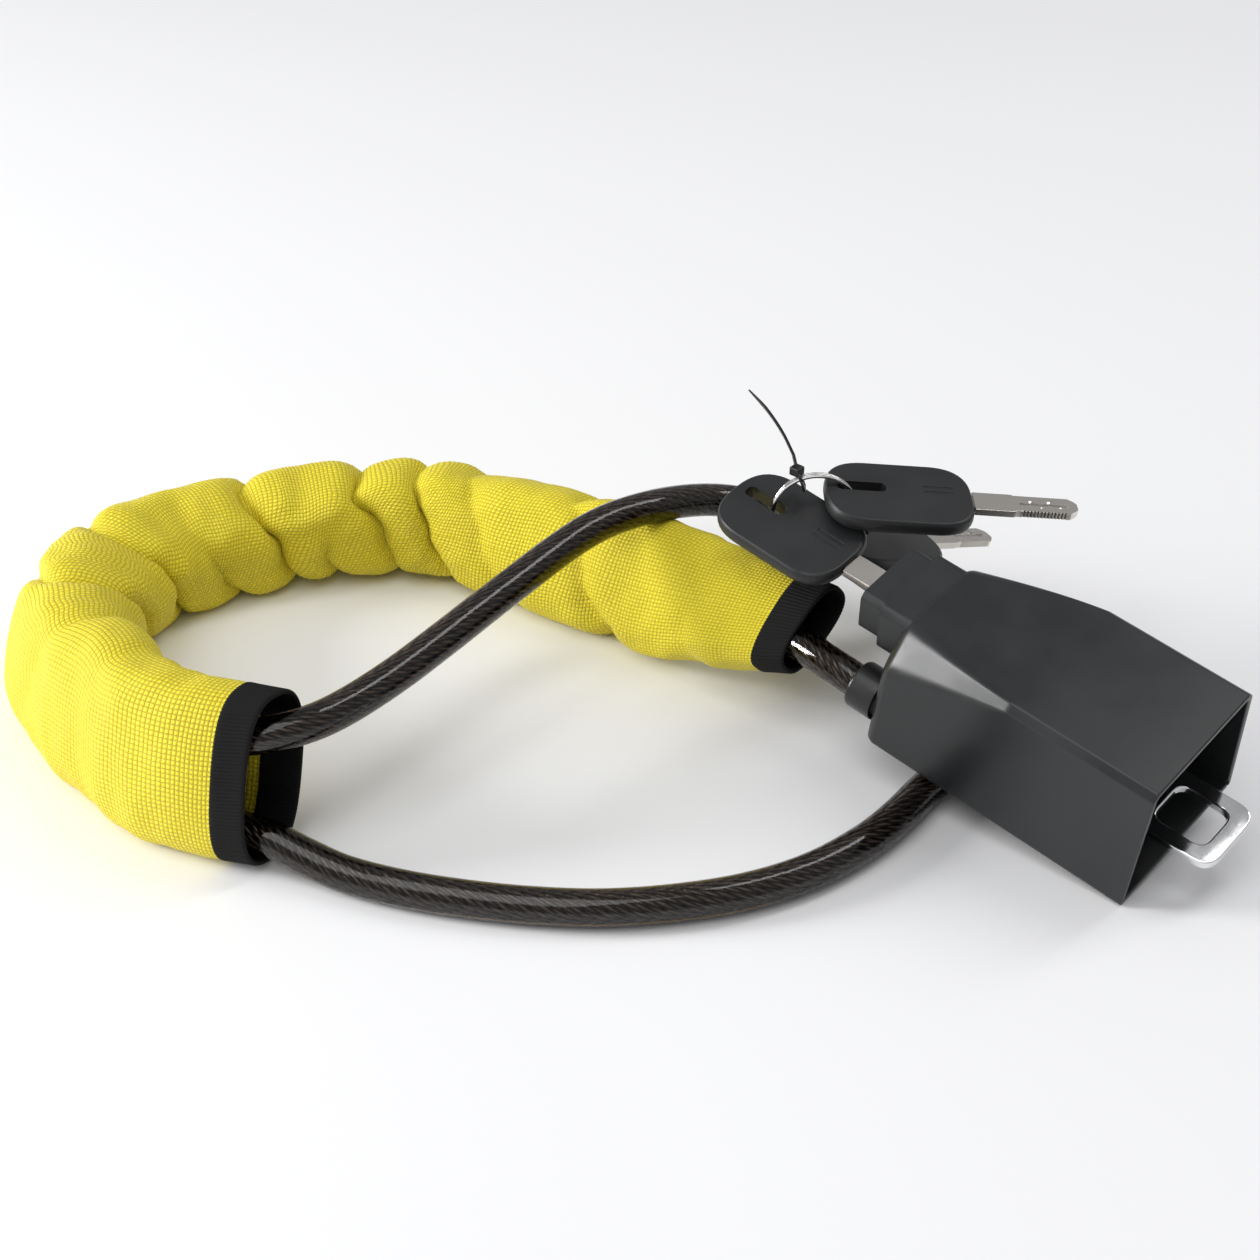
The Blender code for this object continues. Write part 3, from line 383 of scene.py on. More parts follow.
def tube_rings(line, radius, count):
    """Round rings across a line."""
    sides, ups = carried_frames(line)
    angles = np.arange(count) * TAU / count
    return [turned_arc(point, side * radius, up * radius, angles)
            for point, side, up in zip(line, sides, ups)]


def set_uv(mesh, across, along):
    """UVs in metres on a skin, from the distances round each row and from row to row."""
    columns = across.shape[1] - 1
    layer = mesh.uv_layers.new(name="metres")
    for polygon in mesh.polygons:
        corners = [mesh.loops[i].vertex_index for i in polygon.loop_indices]
        wraps = {v % columns for v in corners}
        seam = 0 in wraps and columns - 1 in wraps
        for i, v in zip(polygon.loop_indices, corners):
            row, column = divmod(v, columns)
            u = across[row][columns] if seam and column == 0 else across[row][column]
            layer.data[i].uv = (u, along[row])


# ---------------------------------------------------------------- materials

class Finish:
    """A Principled material with a short way to add nodes."""

    def __init__(self, name, **values):
        self.material = bpy.data.materials.new(name)
        self.material.use_nodes = True
        self.tree = self.material.node_tree
        self.shader = self.tree.nodes["Principled BSDF"]
        for socket, value in values.items():
            self.shader.inputs[socket.replace("_", " ")].default_value = value

    def node(self, kind, inputs=None, **settings):
        node = self.tree.nodes.new("ShaderNode" + kind)
        for key, value in settings.items():
            setattr(node, key, value)
        for key, value in (inputs or {}).items():
            if hasattr(value, "links"):
                self.tree.links.new(value, node.inputs[key])
            else:
                node.inputs[key].default_value = value
        return node

    def join(self, output, socket):
        """Feed one of the shader's sockets."""
        self.tree.links.new(output, self.shader.inputs[socket])

    def coordinates(self, kind="Object"):
        return self.node("TexCoord").outputs[kind]

    def noise(self, vector, scale, detail=3.0, roughness=0.5):
        node = self.node("TexNoise", {"Vector": vector, "Scale": scale, "Detail": detail,
                                      "Roughness": roughness})
        return node.outputs["Fac"]

    def spread(self, value, low, high, start=0.3, end=0.7):
        """Map a 0 to 1 value onto a range."""
        node = self.node("MapRange", {"Value": value, "From Min": start, "From Max": end, "To Min": low,
                                      "To Max": high})
        return node.outputs["Result"]

    def maths(self, operation, a, b=0.0):
        node = self.node("Math", {0: a, 1: b}, operation=operation)
        return node.outputs[0]

    def colours(self, factor, first, second):
        node = self.node("Mix", data_type="RGBA")
        self.tree.links.new(factor, node.inputs[0])
        node.inputs[6].default_value = (*first, 1.0)
        node.inputs[7].default_value = (*second, 1.0)
        return node.outputs[2]

    def bump(self, height, distance, strength=1.0, below=None):
        inputs = {"Height": height, "Distance": distance, "Strength": strength}
        if below is not None:
            inputs["Normal"] = below
        return self.node("Bump", inputs).outputs["Normal"]


def moulded_plastic(name, colour, roughness, grain=5200.0, depth=0.00006):
    """Satin moulding: a fine spark-eroded grain, uneven gloss and slightly paler patches at random."""
    finish = Finish(name, Base_Color=(*colour, 1.0), Roughness=roughness)
    place_on = finish.coordinates()
    broad = finish.noise(place_on, 60.0, 4.0)
    finish.join(finish.spread(broad, roughness - 0.05, roughness + 0.06), "Roughness")
    lighter = tuple(min(1.0, c * 1.25 + 0.002) for c in colour)
    finish.join(finish.colours(finish.spread(broad, 0.0, 1.0, 0.35, 0.8), colour, lighter), "Base Color")
    finish.join(finish.bump(finish.noise(place_on, grain, 2.0), depth, 0.35), "Normal")
    finish.shader.inputs["Specular IOR Level"].default_value = 0.5
    return finish.material


def bright_metal(name, colour, roughness, brushed=0.0, spots=0.02):
    """Plated or bare metal with faint smears, and drawn lines where it is brushed."""
    finish = Finish(name, Base_Color=(*colour, 1.0), Metallic=1.0, Roughness=roughness)
    place_on = finish.coordinates()
    smears = finish.noise(place_on, 140.0, 5.0, 0.6)
    finish.join(finish.spread(smears, max(0.01, roughness - spots), roughness + 2 * spots), "Roughness")
    darker = tuple(c * 0.86 for c in colour)
    finish.join(finish.colours(finish.spread(smears, 0.0, 1.0, 0.45, 0.9), colour, darker), "Base Color")
    if brushed:
        stretched = finish.node("Mapping", {"Vector": place_on, "Scale": (400.0, 9000.0, 9000.0)})
        lines = finish.noise(stretched.outputs["Vector"], 1.0, 3.0)
        finish.join(finish.bump(lines, 0.00004, brushed), "Normal")
    return finish.material


def cast_metal(name, colour):
    """Die-cast surface: dull, mottled and a little pitted."""
    finish = Finish(name, Base_Color=(*colour, 1.0), Metallic=0.85, Roughness=0.5)
    place_on = finish.coordinates()
    mottled = finish.noise(place_on, 260.0, 6.0, 0.6)
    darker = tuple(c * 0.6 for c in colour)
    finish.join(finish.colours(mottled, darker, colour), "Base Color")
    finish.join(finish.spread(mottled, 0.38, 0.62), "Roughness")
    finish.join(finish.bump(finish.noise(place_on, 1800.0, 4.0), 0.0001, 0.5), "Normal")
    return finish.material


def clear_jacket():
    """Smoke-tinted clear plastic, darker where the light crosses more of it."""
    finish = Finish("clear_jacket", Base_Color=(0.88, 0.84, 0.80, 1.0), Roughness=0.06, IOR=1.5)
    finish.shader.inputs["Transmission Weight"].default_value = 1.0
    place_on = finish.coordinates()
    finish.join(finish.spread(finish.noise(place_on, 90.0, 4.0), 0.02, 0.06), "Roughness")
    finish.join(finish.bump(finish.noise(place_on, 120.0, 2.0), 0.00008, 0.12), "Normal")
    smoke = finish.node("VolumeAbsorption")
    smoke.inputs["Color"].default_value = (0.44, 0.34, 0.27, 1.0)
    smoke.inputs["Density"].default_value = 420.0
    output = finish.tree.nodes["Material Output"]
    finish.tree.links.new(smoke.outputs["Volume"], output.inputs["Volume"])
    return finish.material


def rope_metal():
    """Dark oiled steel wires run across each strand: the base colour is painted pale on each wire's crest as
    painted glints in dashes, and near black between the wires as painted shade.
    """
    finish = Finish("rope_metal", Metallic=0.9, Roughness=0.3)
    uv = finish.node("SeparateXYZ", {"Vector": finish.coordinates("UV")})
    u, v = uv.outputs["X"], uv.outputs["Y"]
    lay = finish.maths("ADD", finish.maths("MULTIPLY", u, 4.0 * TAU), finish.maths("MULTIPLY", v, 1400.0))
    wires = finish.maths("ABSOLUTE", finish.maths("SINE", finish.maths("MULTIPLY", lay, 0.5)))
    oil = finish.spread(finish.noise(finish.coordinates(), 300.0, 2.0), 0.55, 1.0)
    # Painted glints and painted shade: this mask makes the base colour pale on the wire crests and near black
    # between them. The oil noise varies it at random.
    shade = finish.maths("MULTIPLY", finish.maths("POWER", wires, 1.5), oil)
    finish.join(finish.colours(shade, (0.008, 0.007, 0.006), (0.34, 0.32, 0.30)), "Base Color")
    finish.join(finish.bump(wires, 0.0002, 0.9), "Normal")
    return finish.material


def woven_cloth(name, thread, gap_shade, pitch, depth, sheen):
    """Plain weave drawn from UVs in metres: one raised dot for each crossing, in a chequered order, with a darker
    colour between the dots as painted shade.
    """
    finish = Finish(name, Roughness=0.6)
    uv = finish.node("SeparateXYZ", {"Vector": finish.coordinates("UV")})
    shift = finish.spread(finish.noise(finish.coordinates(), 160.0, 2.0), -0.5, 0.5, 0.0, 1.0)
    u = finish.maths("ADD", finish.maths("MULTIPLY", uv.outputs["X"], math.pi / pitch), shift)
    v = finish.maths("ADD", finish.maths("MULTIPLY", uv.outputs["Y"], math.pi / pitch), shift)
    crossing = finish.maths("MULTIPLY", finish.maths("SINE", u), finish.maths("SINE", v))
    dots = finish.maths("POWER", finish.maths("ABSOLUTE", crossing), 0.6)
    order = finish.spread(crossing, 0.70, 1.0, -0.3, 0.3)
    fibres = finish.spread(finish.noise(finish.coordinates(), 3500.0, 3.0), -0.12, 0.12, 0.2, 0.8)
    raised = finish.maths("ADD", finish.maths("MULTIPLY", dots, order), fibres)
    worn = finish.spread(finish.noise(finish.coordinates(), 45.0, 4.0), 0.88, 1.08)
    # Painted shade: the base colour falls from the thread colour to the darker second colour between the raised
    # dots. The worn noise varies it at random.
    factor = finish.maths("MULTIPLY", finish.spread(raised, 0.0, 1.0, 0.10, 0.80), worn)
    finish.join(finish.colours(factor, gap_shade, thread), "Base Color")
    finish.join(finish.bump(raised, depth, 0.9), "Normal")
    finish.shader.inputs["Sheen Weight"].default_value = sheen
    finish.shader.inputs["Sheen Roughness"].default_value = 0.4
    return finish.material


def ribbed_tape():
    """Black grosgrain: matt yarns with fine fibres. Its ribs are in the mesh."""
    finish = Finish("ribbed_tape", Roughness=0.8)
    place_on = finish.coordinates()
    fibres = finish.noise(place_on, 4200.0, 3.0)
    finish.join(finish.colours(fibres, (0.002, 0.002, 0.002), (0.008, 0.008, 0.008)), "Base Color")
    finish.join(finish.bump(fibres, 0.0001, 0.6), "Normal")
    finish.shader.inputs["Specular IOR Level"].default_value = 0.25
    return finish.material


SHROUD_BLACK = moulded_plastic("shroud_black", (0.0125, 0.0135, 0.0145), 0.33)
BLOCK_BLACK = moulded_plastic("block_black", (0.0125, 0.0135, 0.0145), 0.35)
BOW_BLACK = moulded_plastic("bow_black", (0.012, 0.0125, 0.0135), 0.42, 4200.0, 0.00008)
GLAND_BLACK = moulded_plastic("gland_black", (0.010, 0.010, 0.011), 0.28)
TIE_BLACK = moulded_plastic("tie_black", (0.008, 0.008, 0.009), 0.42)
SHOE_BLACK = moulded_plastic("shoe_black", (0.015, 0.015, 0.016), 0.5)
MIRROR_STEEL = bright_metal("mirror_steel", (0.90, 0.90, 0.91), 0.05, 0.05)
KEY_NICKEL = bright_metal("key_nickel", (0.74, 0.70, 0.65), 0.24, 0.25)
RING_NICKEL = bright_metal("ring_nickel", (0.84, 0.83, 0.81), 0.12)
PLAIN_STEEL = bright_metal("plain_steel", (0.55, 0.55, 0.57), 0.3, 0.3)
SPRING_STEEL = bright_metal("spring_steel_finish", (0.60, 0.60, 0.62), 0.25)
BRASS = bright_metal("turned_brass", (0.66, 0.50, 0.24), 0.28, 0.3)
PLUG_NICKEL = bright_metal("plug_nickel_finish", (0.68, 0.66, 0.62), 0.22, 0.3)
ZINC = cast_metal("cast_zinc", (0.34, 0.35, 0.37))
CRIMP = cast_metal("pressed_crimp", (0.52, 0.52, 0.53))
CLEAR = clear_jacket()
ROPE = rope_metal()
# The second colour is painted shade between the threads.
YELLOW = woven_cloth("yellow_weave", (0.95, 0.83, 0.026), (0.60, 0.45, 0.003), 1.25 * MM,
                     0.0004, 0.06)
TAPE = ribbed_tape()


# ---------------------------------------------------------------- camera

CAMERA_AT = Vector((0.2543, -0.4585, 0.3796))
CAMERA_AIM = Vector((-0.1154, -0.0315, 0.0))
CAMERA_LENS = 63.37
CAMERA_SENSOR = 36.0


def make_camera():
    """A camera above the front right, looking down at the object."""
    data = bpy.data.cameras.new("camera")
    data.lens = CAMERA_LENS
    data.sensor_width = CAMERA_SENSOR
    camera = bpy.data.objects.new("camera", data)
    bpy.context.scene.collection.objects.link(camera)
    camera.location = CAMERA_AT
    camera.rotation_euler = (CAMERA_AIM - CAMERA_AT).to_track_quat("-Z", "Y").to_euler()
    bpy.context.scene.camera = camera


# ---------------------------------------------------------------- cable

def make_cable():
    """Clear jacket over twisted strands, both along the one route."""
    line = smooth_route(CABLE_ROUTE, JACKET_STEP)
    curve = bpy.data.curves.new("cable_jacket_skin", "CURVE")
    curve.dimensions = "3D"
    curve.bevel_depth = CABLE_RADIUS
    curve.bevel_resolution = 8
    curve.use_fill_caps = True
    spline = curve.splines.new("POLY")
    spline.points.add(len(line) - 1)
    for point, position in zip(spline.points, line):
        point.co = (*position, 1.0)
    spline.use_smooth = True
    jacket = new_object("cable_jacket_skin", curve)
    place(jacket, CLEAR, "housing", "cable_jacket")
    rope = make_rope(smooth_route(CABLE_ROUTE, ROPE_STEP))


def make_rope(line):
    """Strands laid round the route in one helix each, as one mesh with UVs round and along each strand."""
    sides, ups = carried_frames(line)
    along = distances(line)
    lay_radius = ROPE_RADIUS - STRAND_RADIUS
    bm = bmesh.new()
    uv = bm.loops.layers.uv.new("strand")
    for strand in range(STRANDS):
        turn = TAU * (along / STRAND_PITCH + strand / STRANDS)
        centre = line + lay_radius * (sides * np.cos(turn)[:, None] + ups * np.sin(turn)[:, None])
        rings = tube_rings(centre, STRAND_RADIUS, STRAND_SIDES)
        rows = [[bm.verts.new(point) for point in ring] for ring in rings]
        for r, (row, following) in enumerate(zip(rows, rows[1:])):
            for i in range(STRAND_SIDES):
                j = (i + 1) % STRAND_SIDES
                face = bm.faces.new((row[i], row[j], following[j], following[i]))
                corners = ((i, r), (i + 1, r), (i + 1, r + 1), (i, r + 1))
                for loop, (column, k) in zip(face.loops, corners):
                    loop[uv].uv = (column / STRAND_SIDES, along[k])
        bm.faces.new(rows[0])
        bm.faces.new(rows[-1])
    core = [[bm.verts.new(point) for point in ring] for ring in tube_rings(line, lay_radius, STRAND_SIDES)]
    for row, following in zip(core, core[1:]):
        join_rings(bm, row, following)
    bm.faces.new(core[0])
    bm.faces.new(core[-1])
    rope = from_bmesh("cable_rope", bm)
    rope.data.shade_smooth()
    return place(rope, ROPE, "housing", "cable_core")


# ---------------------------------------------------------------- sleeve

def sleeve_stations():
    """Smoothly joined sections: centres, directions along, to the side and up, and the two half sizes."""
    table = np.array([(*bottom, *top, thick) for bottom, top, thick in SLEEVE_SECTIONS])
    sections = smooth_route(table, SLEEVE_STEP)
    bottom, top, half_thick = sections[:, :3], sections[:, 3:6], sections[:, 6]
    centre = (bottom + top) / 2
    tangent = unit(np.gradient(centre, axis=0))
    up = unit(top - bottom)
    half_height = np.linalg.norm(top - bottom, axis=1) / 2
    return centre, tangent, unit(np.cross(tangent, up)), up, half_thick, half_height


def fold_shift(s, angle, length):
    """How far the cloth stands out, and how far it leans along the sleeve over its creases."""
    down = (1.0 - math.sin(angle)) / 2
    inner_side = 0.76 + 0.24 * math.cos(angle)
    point = Vector((s * 60.0, 1.3 * math.cos(angle), 1.3 * math.sin(angle)))
    wander = 0.003 * noise.noise(point * 0.9 + Vector((7.0, 0.0, 0.0)))
    depth = 0.0016 + 0.0024 * math.exp(-((s - 0.085) / 0.045) ** 2)
    lean = 0.0
    for top, bottom, deep, width, upper, lower in SLEEVE_FOLDS:
        beyond = (s + wander - top - (bottom - top) * down) / width
        across = min(1.0, abs(beyond))
        share = deep * (upper + (lower - upper) * down ** 1.5) * inner_side
        depth -= share * (1.0 - math.sin(math.pi / 2 * across) ** 0.8)
        lean -= FOLD_OVERHANG * share * math.sin(math.pi * across) * math.copysign(1.0, beyond)
    calm = min(1.0, s / CALM_LENGTH, (length - s) / CALM_LENGTH)
    fine = Vector((s * 170.0, 2.4 * math.cos(angle), 2.4 * math.sin(angle)))
    depth += 0.0012 * noise.noise(point) + 0.0006 * noise.noise(fine)
    return calm * depth, calm * lean


def squared(value, power):
    """A sine or cosine raised to a power, with its sign kept: it squares a round section."""
    return math.copysign(abs(value) ** power, value)


def sleeve_grid():
    """Points round the sleeve at each station, with the folds in them and none below the ground."""
    centre, tangent, side, up, half_thick, half_height = sleeve_stations()
    along = distances(centre)
    rows = []
    for i, s in enumerate(along):
        row = []
        slant = MOUTH_SLANT * max(0.0, 1.0 - s / CALM_LENGTH)
        for angle in np.arange(SLEEVE_POINTS_ROUND) * TAU / SLEEVE_POINTS_ROUND:
            c, n = math.cos(angle), math.sin(angle)
            push, lean = fold_shift(s, angle, along[-1])
            row.append(centre[i] + side[i] * half_thick[i] * squared(c, SLEEVE_SQUARENESS)
                       + up[i] * half_height[i] * squared(n, SLEEVE_SQUARENESS)
                       + (side[i] * c + up[i] * n) * push + tangent[i] * (lean - slant * c))
        rows.append(row)
    rows = np.array(rows)
    rows[:, :, 2] = np.maximum(rows[:, :, 2], SLEEVE_FLOOR_GAP)
    return rows


def grid_uv(rows):
    """Distances round each row and along the sleeve, in metres, for the weave."""
    closed = np.concatenate([rows, rows[:, :1]], axis=1)
    round_each = np.linalg.norm(np.diff(closed, axis=1), axis=2)
    across = np.concatenate([np.zeros((len(rows), 1)), np.cumsum(round_each, axis=1)], axis=1)
    middle = np.median(across[:, -1])
    across *= (middle / across[:, -1])[:, None]
    steps = np.linalg.norm(np.diff(rows, axis=0), axis=2).mean(axis=1)
    return across, np.concatenate([[0], np.cumsum(steps)])


def make_sleeve():
    """Bunched woven tube over both strands of the loop, with a tape binding at each end."""
    rows = sleeve_grid()
    across, along = grid_uv(rows)
    sleeve = skin("sleeve_cloth", rows, ends="open")
    set_uv(sleeve.data, across, along)
    sleeve.data.shade_smooth()
    thickness = sleeve.modifiers.new("cloth", "SOLIDIFY")
    thickness.thickness = SLEEVE_THICKNESS
    thickness.offset = -1.0
    bpy.context.view_layer.update()
    apply_modifiers(sleeve)
    place(sleeve, YELLOW, "housing", "sleeve")
    bindings = [make_binding("sleeve_binding_open_end", rows, along, False),
                make_binding("sleeve_binding_lock_end", rows, along, True)]


def binding_outline():
    """The tape's section: how far along the sleeve, and how much of its half thickness above the cloth."""
    fold = [(-0.6 * MM, 0.0), (-0.4 * MM, 0.7), (0.0, 1.0)]
    flat = [(BINDING_LENGTH * share, 1.0) for share in (0.1, 0.25, 0.5, 0.75, 0.93)]
    edge = [(BINDING_LENGTH, 0.75), (BINDING_LENGTH + 0.2 * MM, 0.2)]
    upper = fold + flat + edge
    return upper + [(x, -height) for x, height in reversed(upper[1:])]


def spread_round(rows, step):
    """The rows again with an equal number of evenly spaced points round each."""
    dense = []
    for row in rows:
        line = respaced(np.concatenate([row, row[:1]]), step)
        dense.append(line[:-1])
    count = min(len(line) for line in dense)
    return np.array([line[np.linspace(0, len(line), count, endpoint=False).astype(int)] for line in dense])


def make_binding(node, rows, along, last):
    """Tape folded over the sleeve's end: a band with round edges and fine ribs across its width."""
    if last:
        rows, along = rows[::-1], along[-1] - along[::-1]
    around = line_length(np.concatenate([rows[0], rows[0][:1]]))
    ribs = round(around / RIB_PITCH)
    wall = spread_round(rows[:BINDING_ROWS], around / (ribs * POINTS_PER_RIB))
    count = wall.shape[1]
    rib = RIB_HEIGHT * np.cos(np.arange(count) * TAU * ribs / count)
    back = unit(wall[0] - wall[1])
    rings = []
    for x, height in binding_outline():
        if x <= 0:
            base = wall[0] - back * x
        else:
            at = np.interp(x, along[:BINDING_ROWS], np.arange(BINDING_ROWS))
            low = min(int(at), BINDING_ROWS - 2)
            base = wall[low] + (wall[low + 1] - wall[low]) * (at - low)
        normal = unit(np.cross(np.roll(base, -1, axis=0) - np.roll(base, 1, axis=0), back))
        if ((base - base.mean(axis=0)) * normal).sum() < 0:
            normal = -normal
        stands = BINDING_THICKNESS / 2 * height + rib * height
        rings.append(base + normal * (stands - SLEEVE_THICKNESS / 2)[:, None])
    band = skin(node + "_tape", rings, ends="joined")
    band.data.shade_smooth()
    return place(band, TAPE, "housing", node)


# ---------------------------------------------------------------- housing

SHROUD_LENGTH = 84.0 * MM
SHROUD_WALL = 2.0 * MM
BLEND_START = 43.5 * MM
BOTTOM_HALF = 26.8 * MM
FRONT_TOP_HALF = 23.1 * MM
FRONT_HEIGHT = 42.9 * MM
FRONT_CORNER = 2.0 * MM
REAR_TOP_HALF = 12.6 * MM
REAR_HEIGHT = 38.2 * MM
REAR_CHAMFER_HALF = 22.8 * MM
REAR_CHAMFER_HEIGHT = 27.0 * MM
LOCK_HEIGHT = 29.5 * MM
REAR_ROUND = 3.4 * MM
COLLAR_SIZE = (27.4 * MM, 16.8 * MM)
COLLAR_END = 91.4 * MM
WINDOW_SIZE = (24.6 * MM, 14.8 * MM)
GLAND_AT = (-18.2 * MM, 10.0 * MM)
TONGUE_TIP = 14.4 * MM
TONGUE_BACK = 62.0 * MM
TONGUE_WIDTH = 23.5 * MM
TONGUE_THICKNESS = 2.6 * MM
TONGUE_HEIGHT = 13.3 * MM
TONGUE_HOLE = (-6.0 * MM, 9.6 * MM, 14.0 * MM)
TONGUE_CORNER = 5.5 * MM
TONGUE_HOLE_CORNER = 3.5 * MM
RIVET_HOLE = 2.3 * MM
RIM_NOTCHES = (25.0 * MM, -2.5 * MM)
SPRING_FRONT = -56.9 * MM
SPRING_BACK = -66.1 * MM
SPRING_TURNS = 4
SPRING_RADIUS = 4.6 * MM
SPRING_WIRE = 0.36 * MM
POINTS_PER_TURN = 24
SCREW_AT = ((-73.0 * MM, 9.0 * MM), (-73.0 * MM, -8.0 * MM), (-64.0 * MM, 18.0 * MM))


def rounded(corners, radii, per_corner=6):
    """Closed outline with each corner rounded by its own radius."""
    points = []
    count = len(corners)
    for i, radius in enumerate(radii):
        corner = Vector(corners[i])
        back, ahead = Vector(corners[i - 1]) - corner, Vector(corners[(i + 1) % count]) - corner
        turn = math.pi - back.angle(ahead)
        reach = min(radius * math.tan(turn / 2), 0.46 * back.length, 0.46 * ahead.length)
        start, end = corner + back.normalized() * reach, corner + ahead.normalized() * reach
        for t in np.arange(per_corner) / (per_corner - 1):
            points.append(start * (1 - t) ** 2 + corner * 2 * t * (1 - t) + end * t ** 2)
    return points


def shroud_ring(back, inset):
    """The shroud's rounded section at a distance behind the mouth."""
    blend = max(0.0, (back - BLEND_START) / (SHROUD_LENGTH - BLEND_START))
    height = FRONT_HEIGHT + (REAR_HEIGHT - FRONT_HEIGHT) * blend
    top = FRONT_TOP_HALF - FRONT_CORNER + (REAR_TOP_HALF - FRONT_TOP_HALF + FRONT_CORNER) * blend ** 1.4
    side_height = FRONT_HEIGHT - FRONT_CORNER + (REAR_CHAMFER_HEIGHT - FRONT_HEIGHT + FRONT_CORNER) * blend
    side = FRONT_TOP_HALF + (REAR_CHAMFER_HALF - FRONT_TOP_HALF) * blend
    part_inset = 0.41 * inset
    right = [(BOTTOM_HALF - inset, inset), (side - inset, side_height - part_inset),
             (top - part_inset, height - inset)]
    corners = right + [(-x, z) for x, z in reversed(right)]
    upper, lower = 1.4 * MM + 8.0 * MM * blend ** 2, 1.4 * MM + 10.0 * MM * blend
    shrink = max(0.3 * MM, 1.6 * MM - inset)
    radii = [shrink, lower, upper, upper, lower, shrink]
    return [(-back, point.x, point.y) for point in rounded(corners, radii)]


def bar(name, back, front, size, radius):
    """Bar with rounded long edges on the lock's axis."""
    half_y, half_z = size[0] / 2, size[1] / 2
    corners = [(half_y, LOCK_HEIGHT - half_z), (half_y, LOCK_HEIGHT + half_z),
               (-half_y, LOCK_HEIGHT + half_z), (-half_y, LOCK_HEIGHT - half_z)]
    outline = rounded(corners, [radius] * 4)
    return skin(name, [[(-x, p.x, p.y) for p in outline] for x in (back, front)])


def plate(name, x_ends, y_ends, z_ends, radius):
    """Upright block between two ends on each axis, with round upright corners."""
    corners = [(x_ends[i], y_ends[j]) for i, j in ((0, 0), (1, 0), (1, 1), (0, 1))]
    outline = rounded(corners, [radius] * 4)
    return skin(name, [[(p.x, p.y, z) for p in outline] for z in z_ends])


def make_shroud():
    """Thin-walled shell with a round rim, a collar for the block and a window, bore and screw seats."""
    front = [0.35 * MM, 8.0 * MM, 25.0 * MM, BLEND_START]
    blend = [BLEND_START + (SHROUD_LENGTH - BLEND_START) * t for t in np.linspace(0, 1, 25)[1:]]
    round_start = SHROUD_LENGTH - REAR_ROUND
    outer = [shroud_ring(back, 0.0) for back in front + [b for b in blend if b < round_start]]
    for turn in np.radians(np.linspace(0, 88, 9)):
        back = round_start + REAR_ROUND * math.sin(turn)
        outer.append(shroud_ring(back, REAR_ROUND * (1 - math.cos(turn))))
    rim_steps = ((0.1, 0.25), (0.0, 0.7))
    rim = [shroud_ring(back * MM, inset * MM) for back, inset in rim_steps]
    rim += [shroud_ring(back * MM, SHROUD_WALL - inset * MM) for back, inset in reversed(rim_steps)]
    cavity_end = SHROUD_LENGTH - 2.5 * MM
    inner = [shroud_ring(back, SHROUD_WALL) for back in front + [b for b in blend if b < cavity_end]]
    inner += [shroud_ring(cavity_end, SHROUD_WALL)]
    shell = skin("shroud_shell", outer[::-1] + rim + inner)
    cut(shell, [bar("collar_tool", COLLAR_END, 80.0 * MM, COLLAR_SIZE, 3.2 * MM)], "UNION")
    y, z = GLAND_AT
    tools = [bar("window_tool", 95.0 * MM, 60.0 * MM, WINDOW_SIZE, 2.8 * MM),
             cylinder("gland_tool", (-90.0 * MM, y, z), (-80.0 * MM, y, z), 5.8 * MM)]
    for x, y in SCREW_AT:
        tools.append(cylinder("screw_tool", (x, y, -MM), (x, y, 4.0 * MM), 1.9 * MM, sides=24))
        tools.append(cylinder("seat_tool", (x, y, -MM), (x, y, 1.4 * MM), 3.4 * MM, sides=32))
    for y in RIM_NOTCHES:
        tools.append(box("rim_notch_tool", (-0.8 * MM, y - 0.5 * MM, -MM), (MM, y + 0.5 * MM, 2.6 * MM)))
    cut(shell, tools)
    soften(shell, 0.5 * MM, 3, 38.0)
    shell.matrix_world = HOUSING
    place(shell, SHROUD_BLACK, "housing", "shroud")


def make_fasteners():
    """Screw heads with a cross recess, and domed rivets."""
    for index, (x, y) in enumerate(SCREW_AT):
        node = f"chassis_screw_{index + 1}"
        screw = cad_copy(node)
        arms = ((1.9 * MM, 0.4 * MM), (0.4 * MM, 1.9 * MM))
        cut(screw, [box("recess_tool", (x - a, y - b, -MM), (x + a, y + b, 0.9 * MM), HOUSING)
                    for a, b in arms])
        soften(screw, 0.15 * MM, 2)
        place(screw, PLAIN_STEEL, "housing", node)
    for index in (1, 2):
        node = f"tongue_rivet_{index}"
        place(soften(cad_copy(node), 0.4 * MM, 3), PLAIN_STEEL, "housing", node)


# CAD nodes kept in their own shape: node, body, slot, material and the width of the rounding in mm.
SOFTENED = (
    ("chassis", "housing", "chassis_zinc", ZINC, 0.4),
    ("cable_gland", "housing", "gland_black", GLAND_BLACK, 0.3),
    ("cable_end_stop", "housing", "crimp_zinc", CRIMP, 0.3),
    ("loop_ferrule", "housing", "crimp_zinc", CRIMP, 0.4),
    ("push_block", "push_block", "push_block_black", BLOCK_BLACK, 0.7),
    ("pusher_rod", "push_block", "mechanism_steel", PLAIN_STEEL, 0.2),
    ("pusher_shoe", "push_block", "shoe_black", SHOE_BLACK, 0.5),
    ("lock_barrel", "push_block", "barrel_brass", BRASS, 0.15),
    ("lock_plug", "lock_plug", "plug_nickel", PLUG_NICKEL, 0.12),
    ("lock_cam", "lock_plug", "mechanism_steel", PLAIN_STEEL, 0.2),
    ("cam_screw", "lock_plug", "mechanism_steel", PLAIN_STEEL, 0.15),
)


def make_softened_pieces():
    """Pieces whose CAD shape is right: the same shape with rounded edges and its own finish."""
    for node, body, slot, material, width in SOFTENED:
        place(soften(cad_copy(node), width * MM, 3), material, body, node)


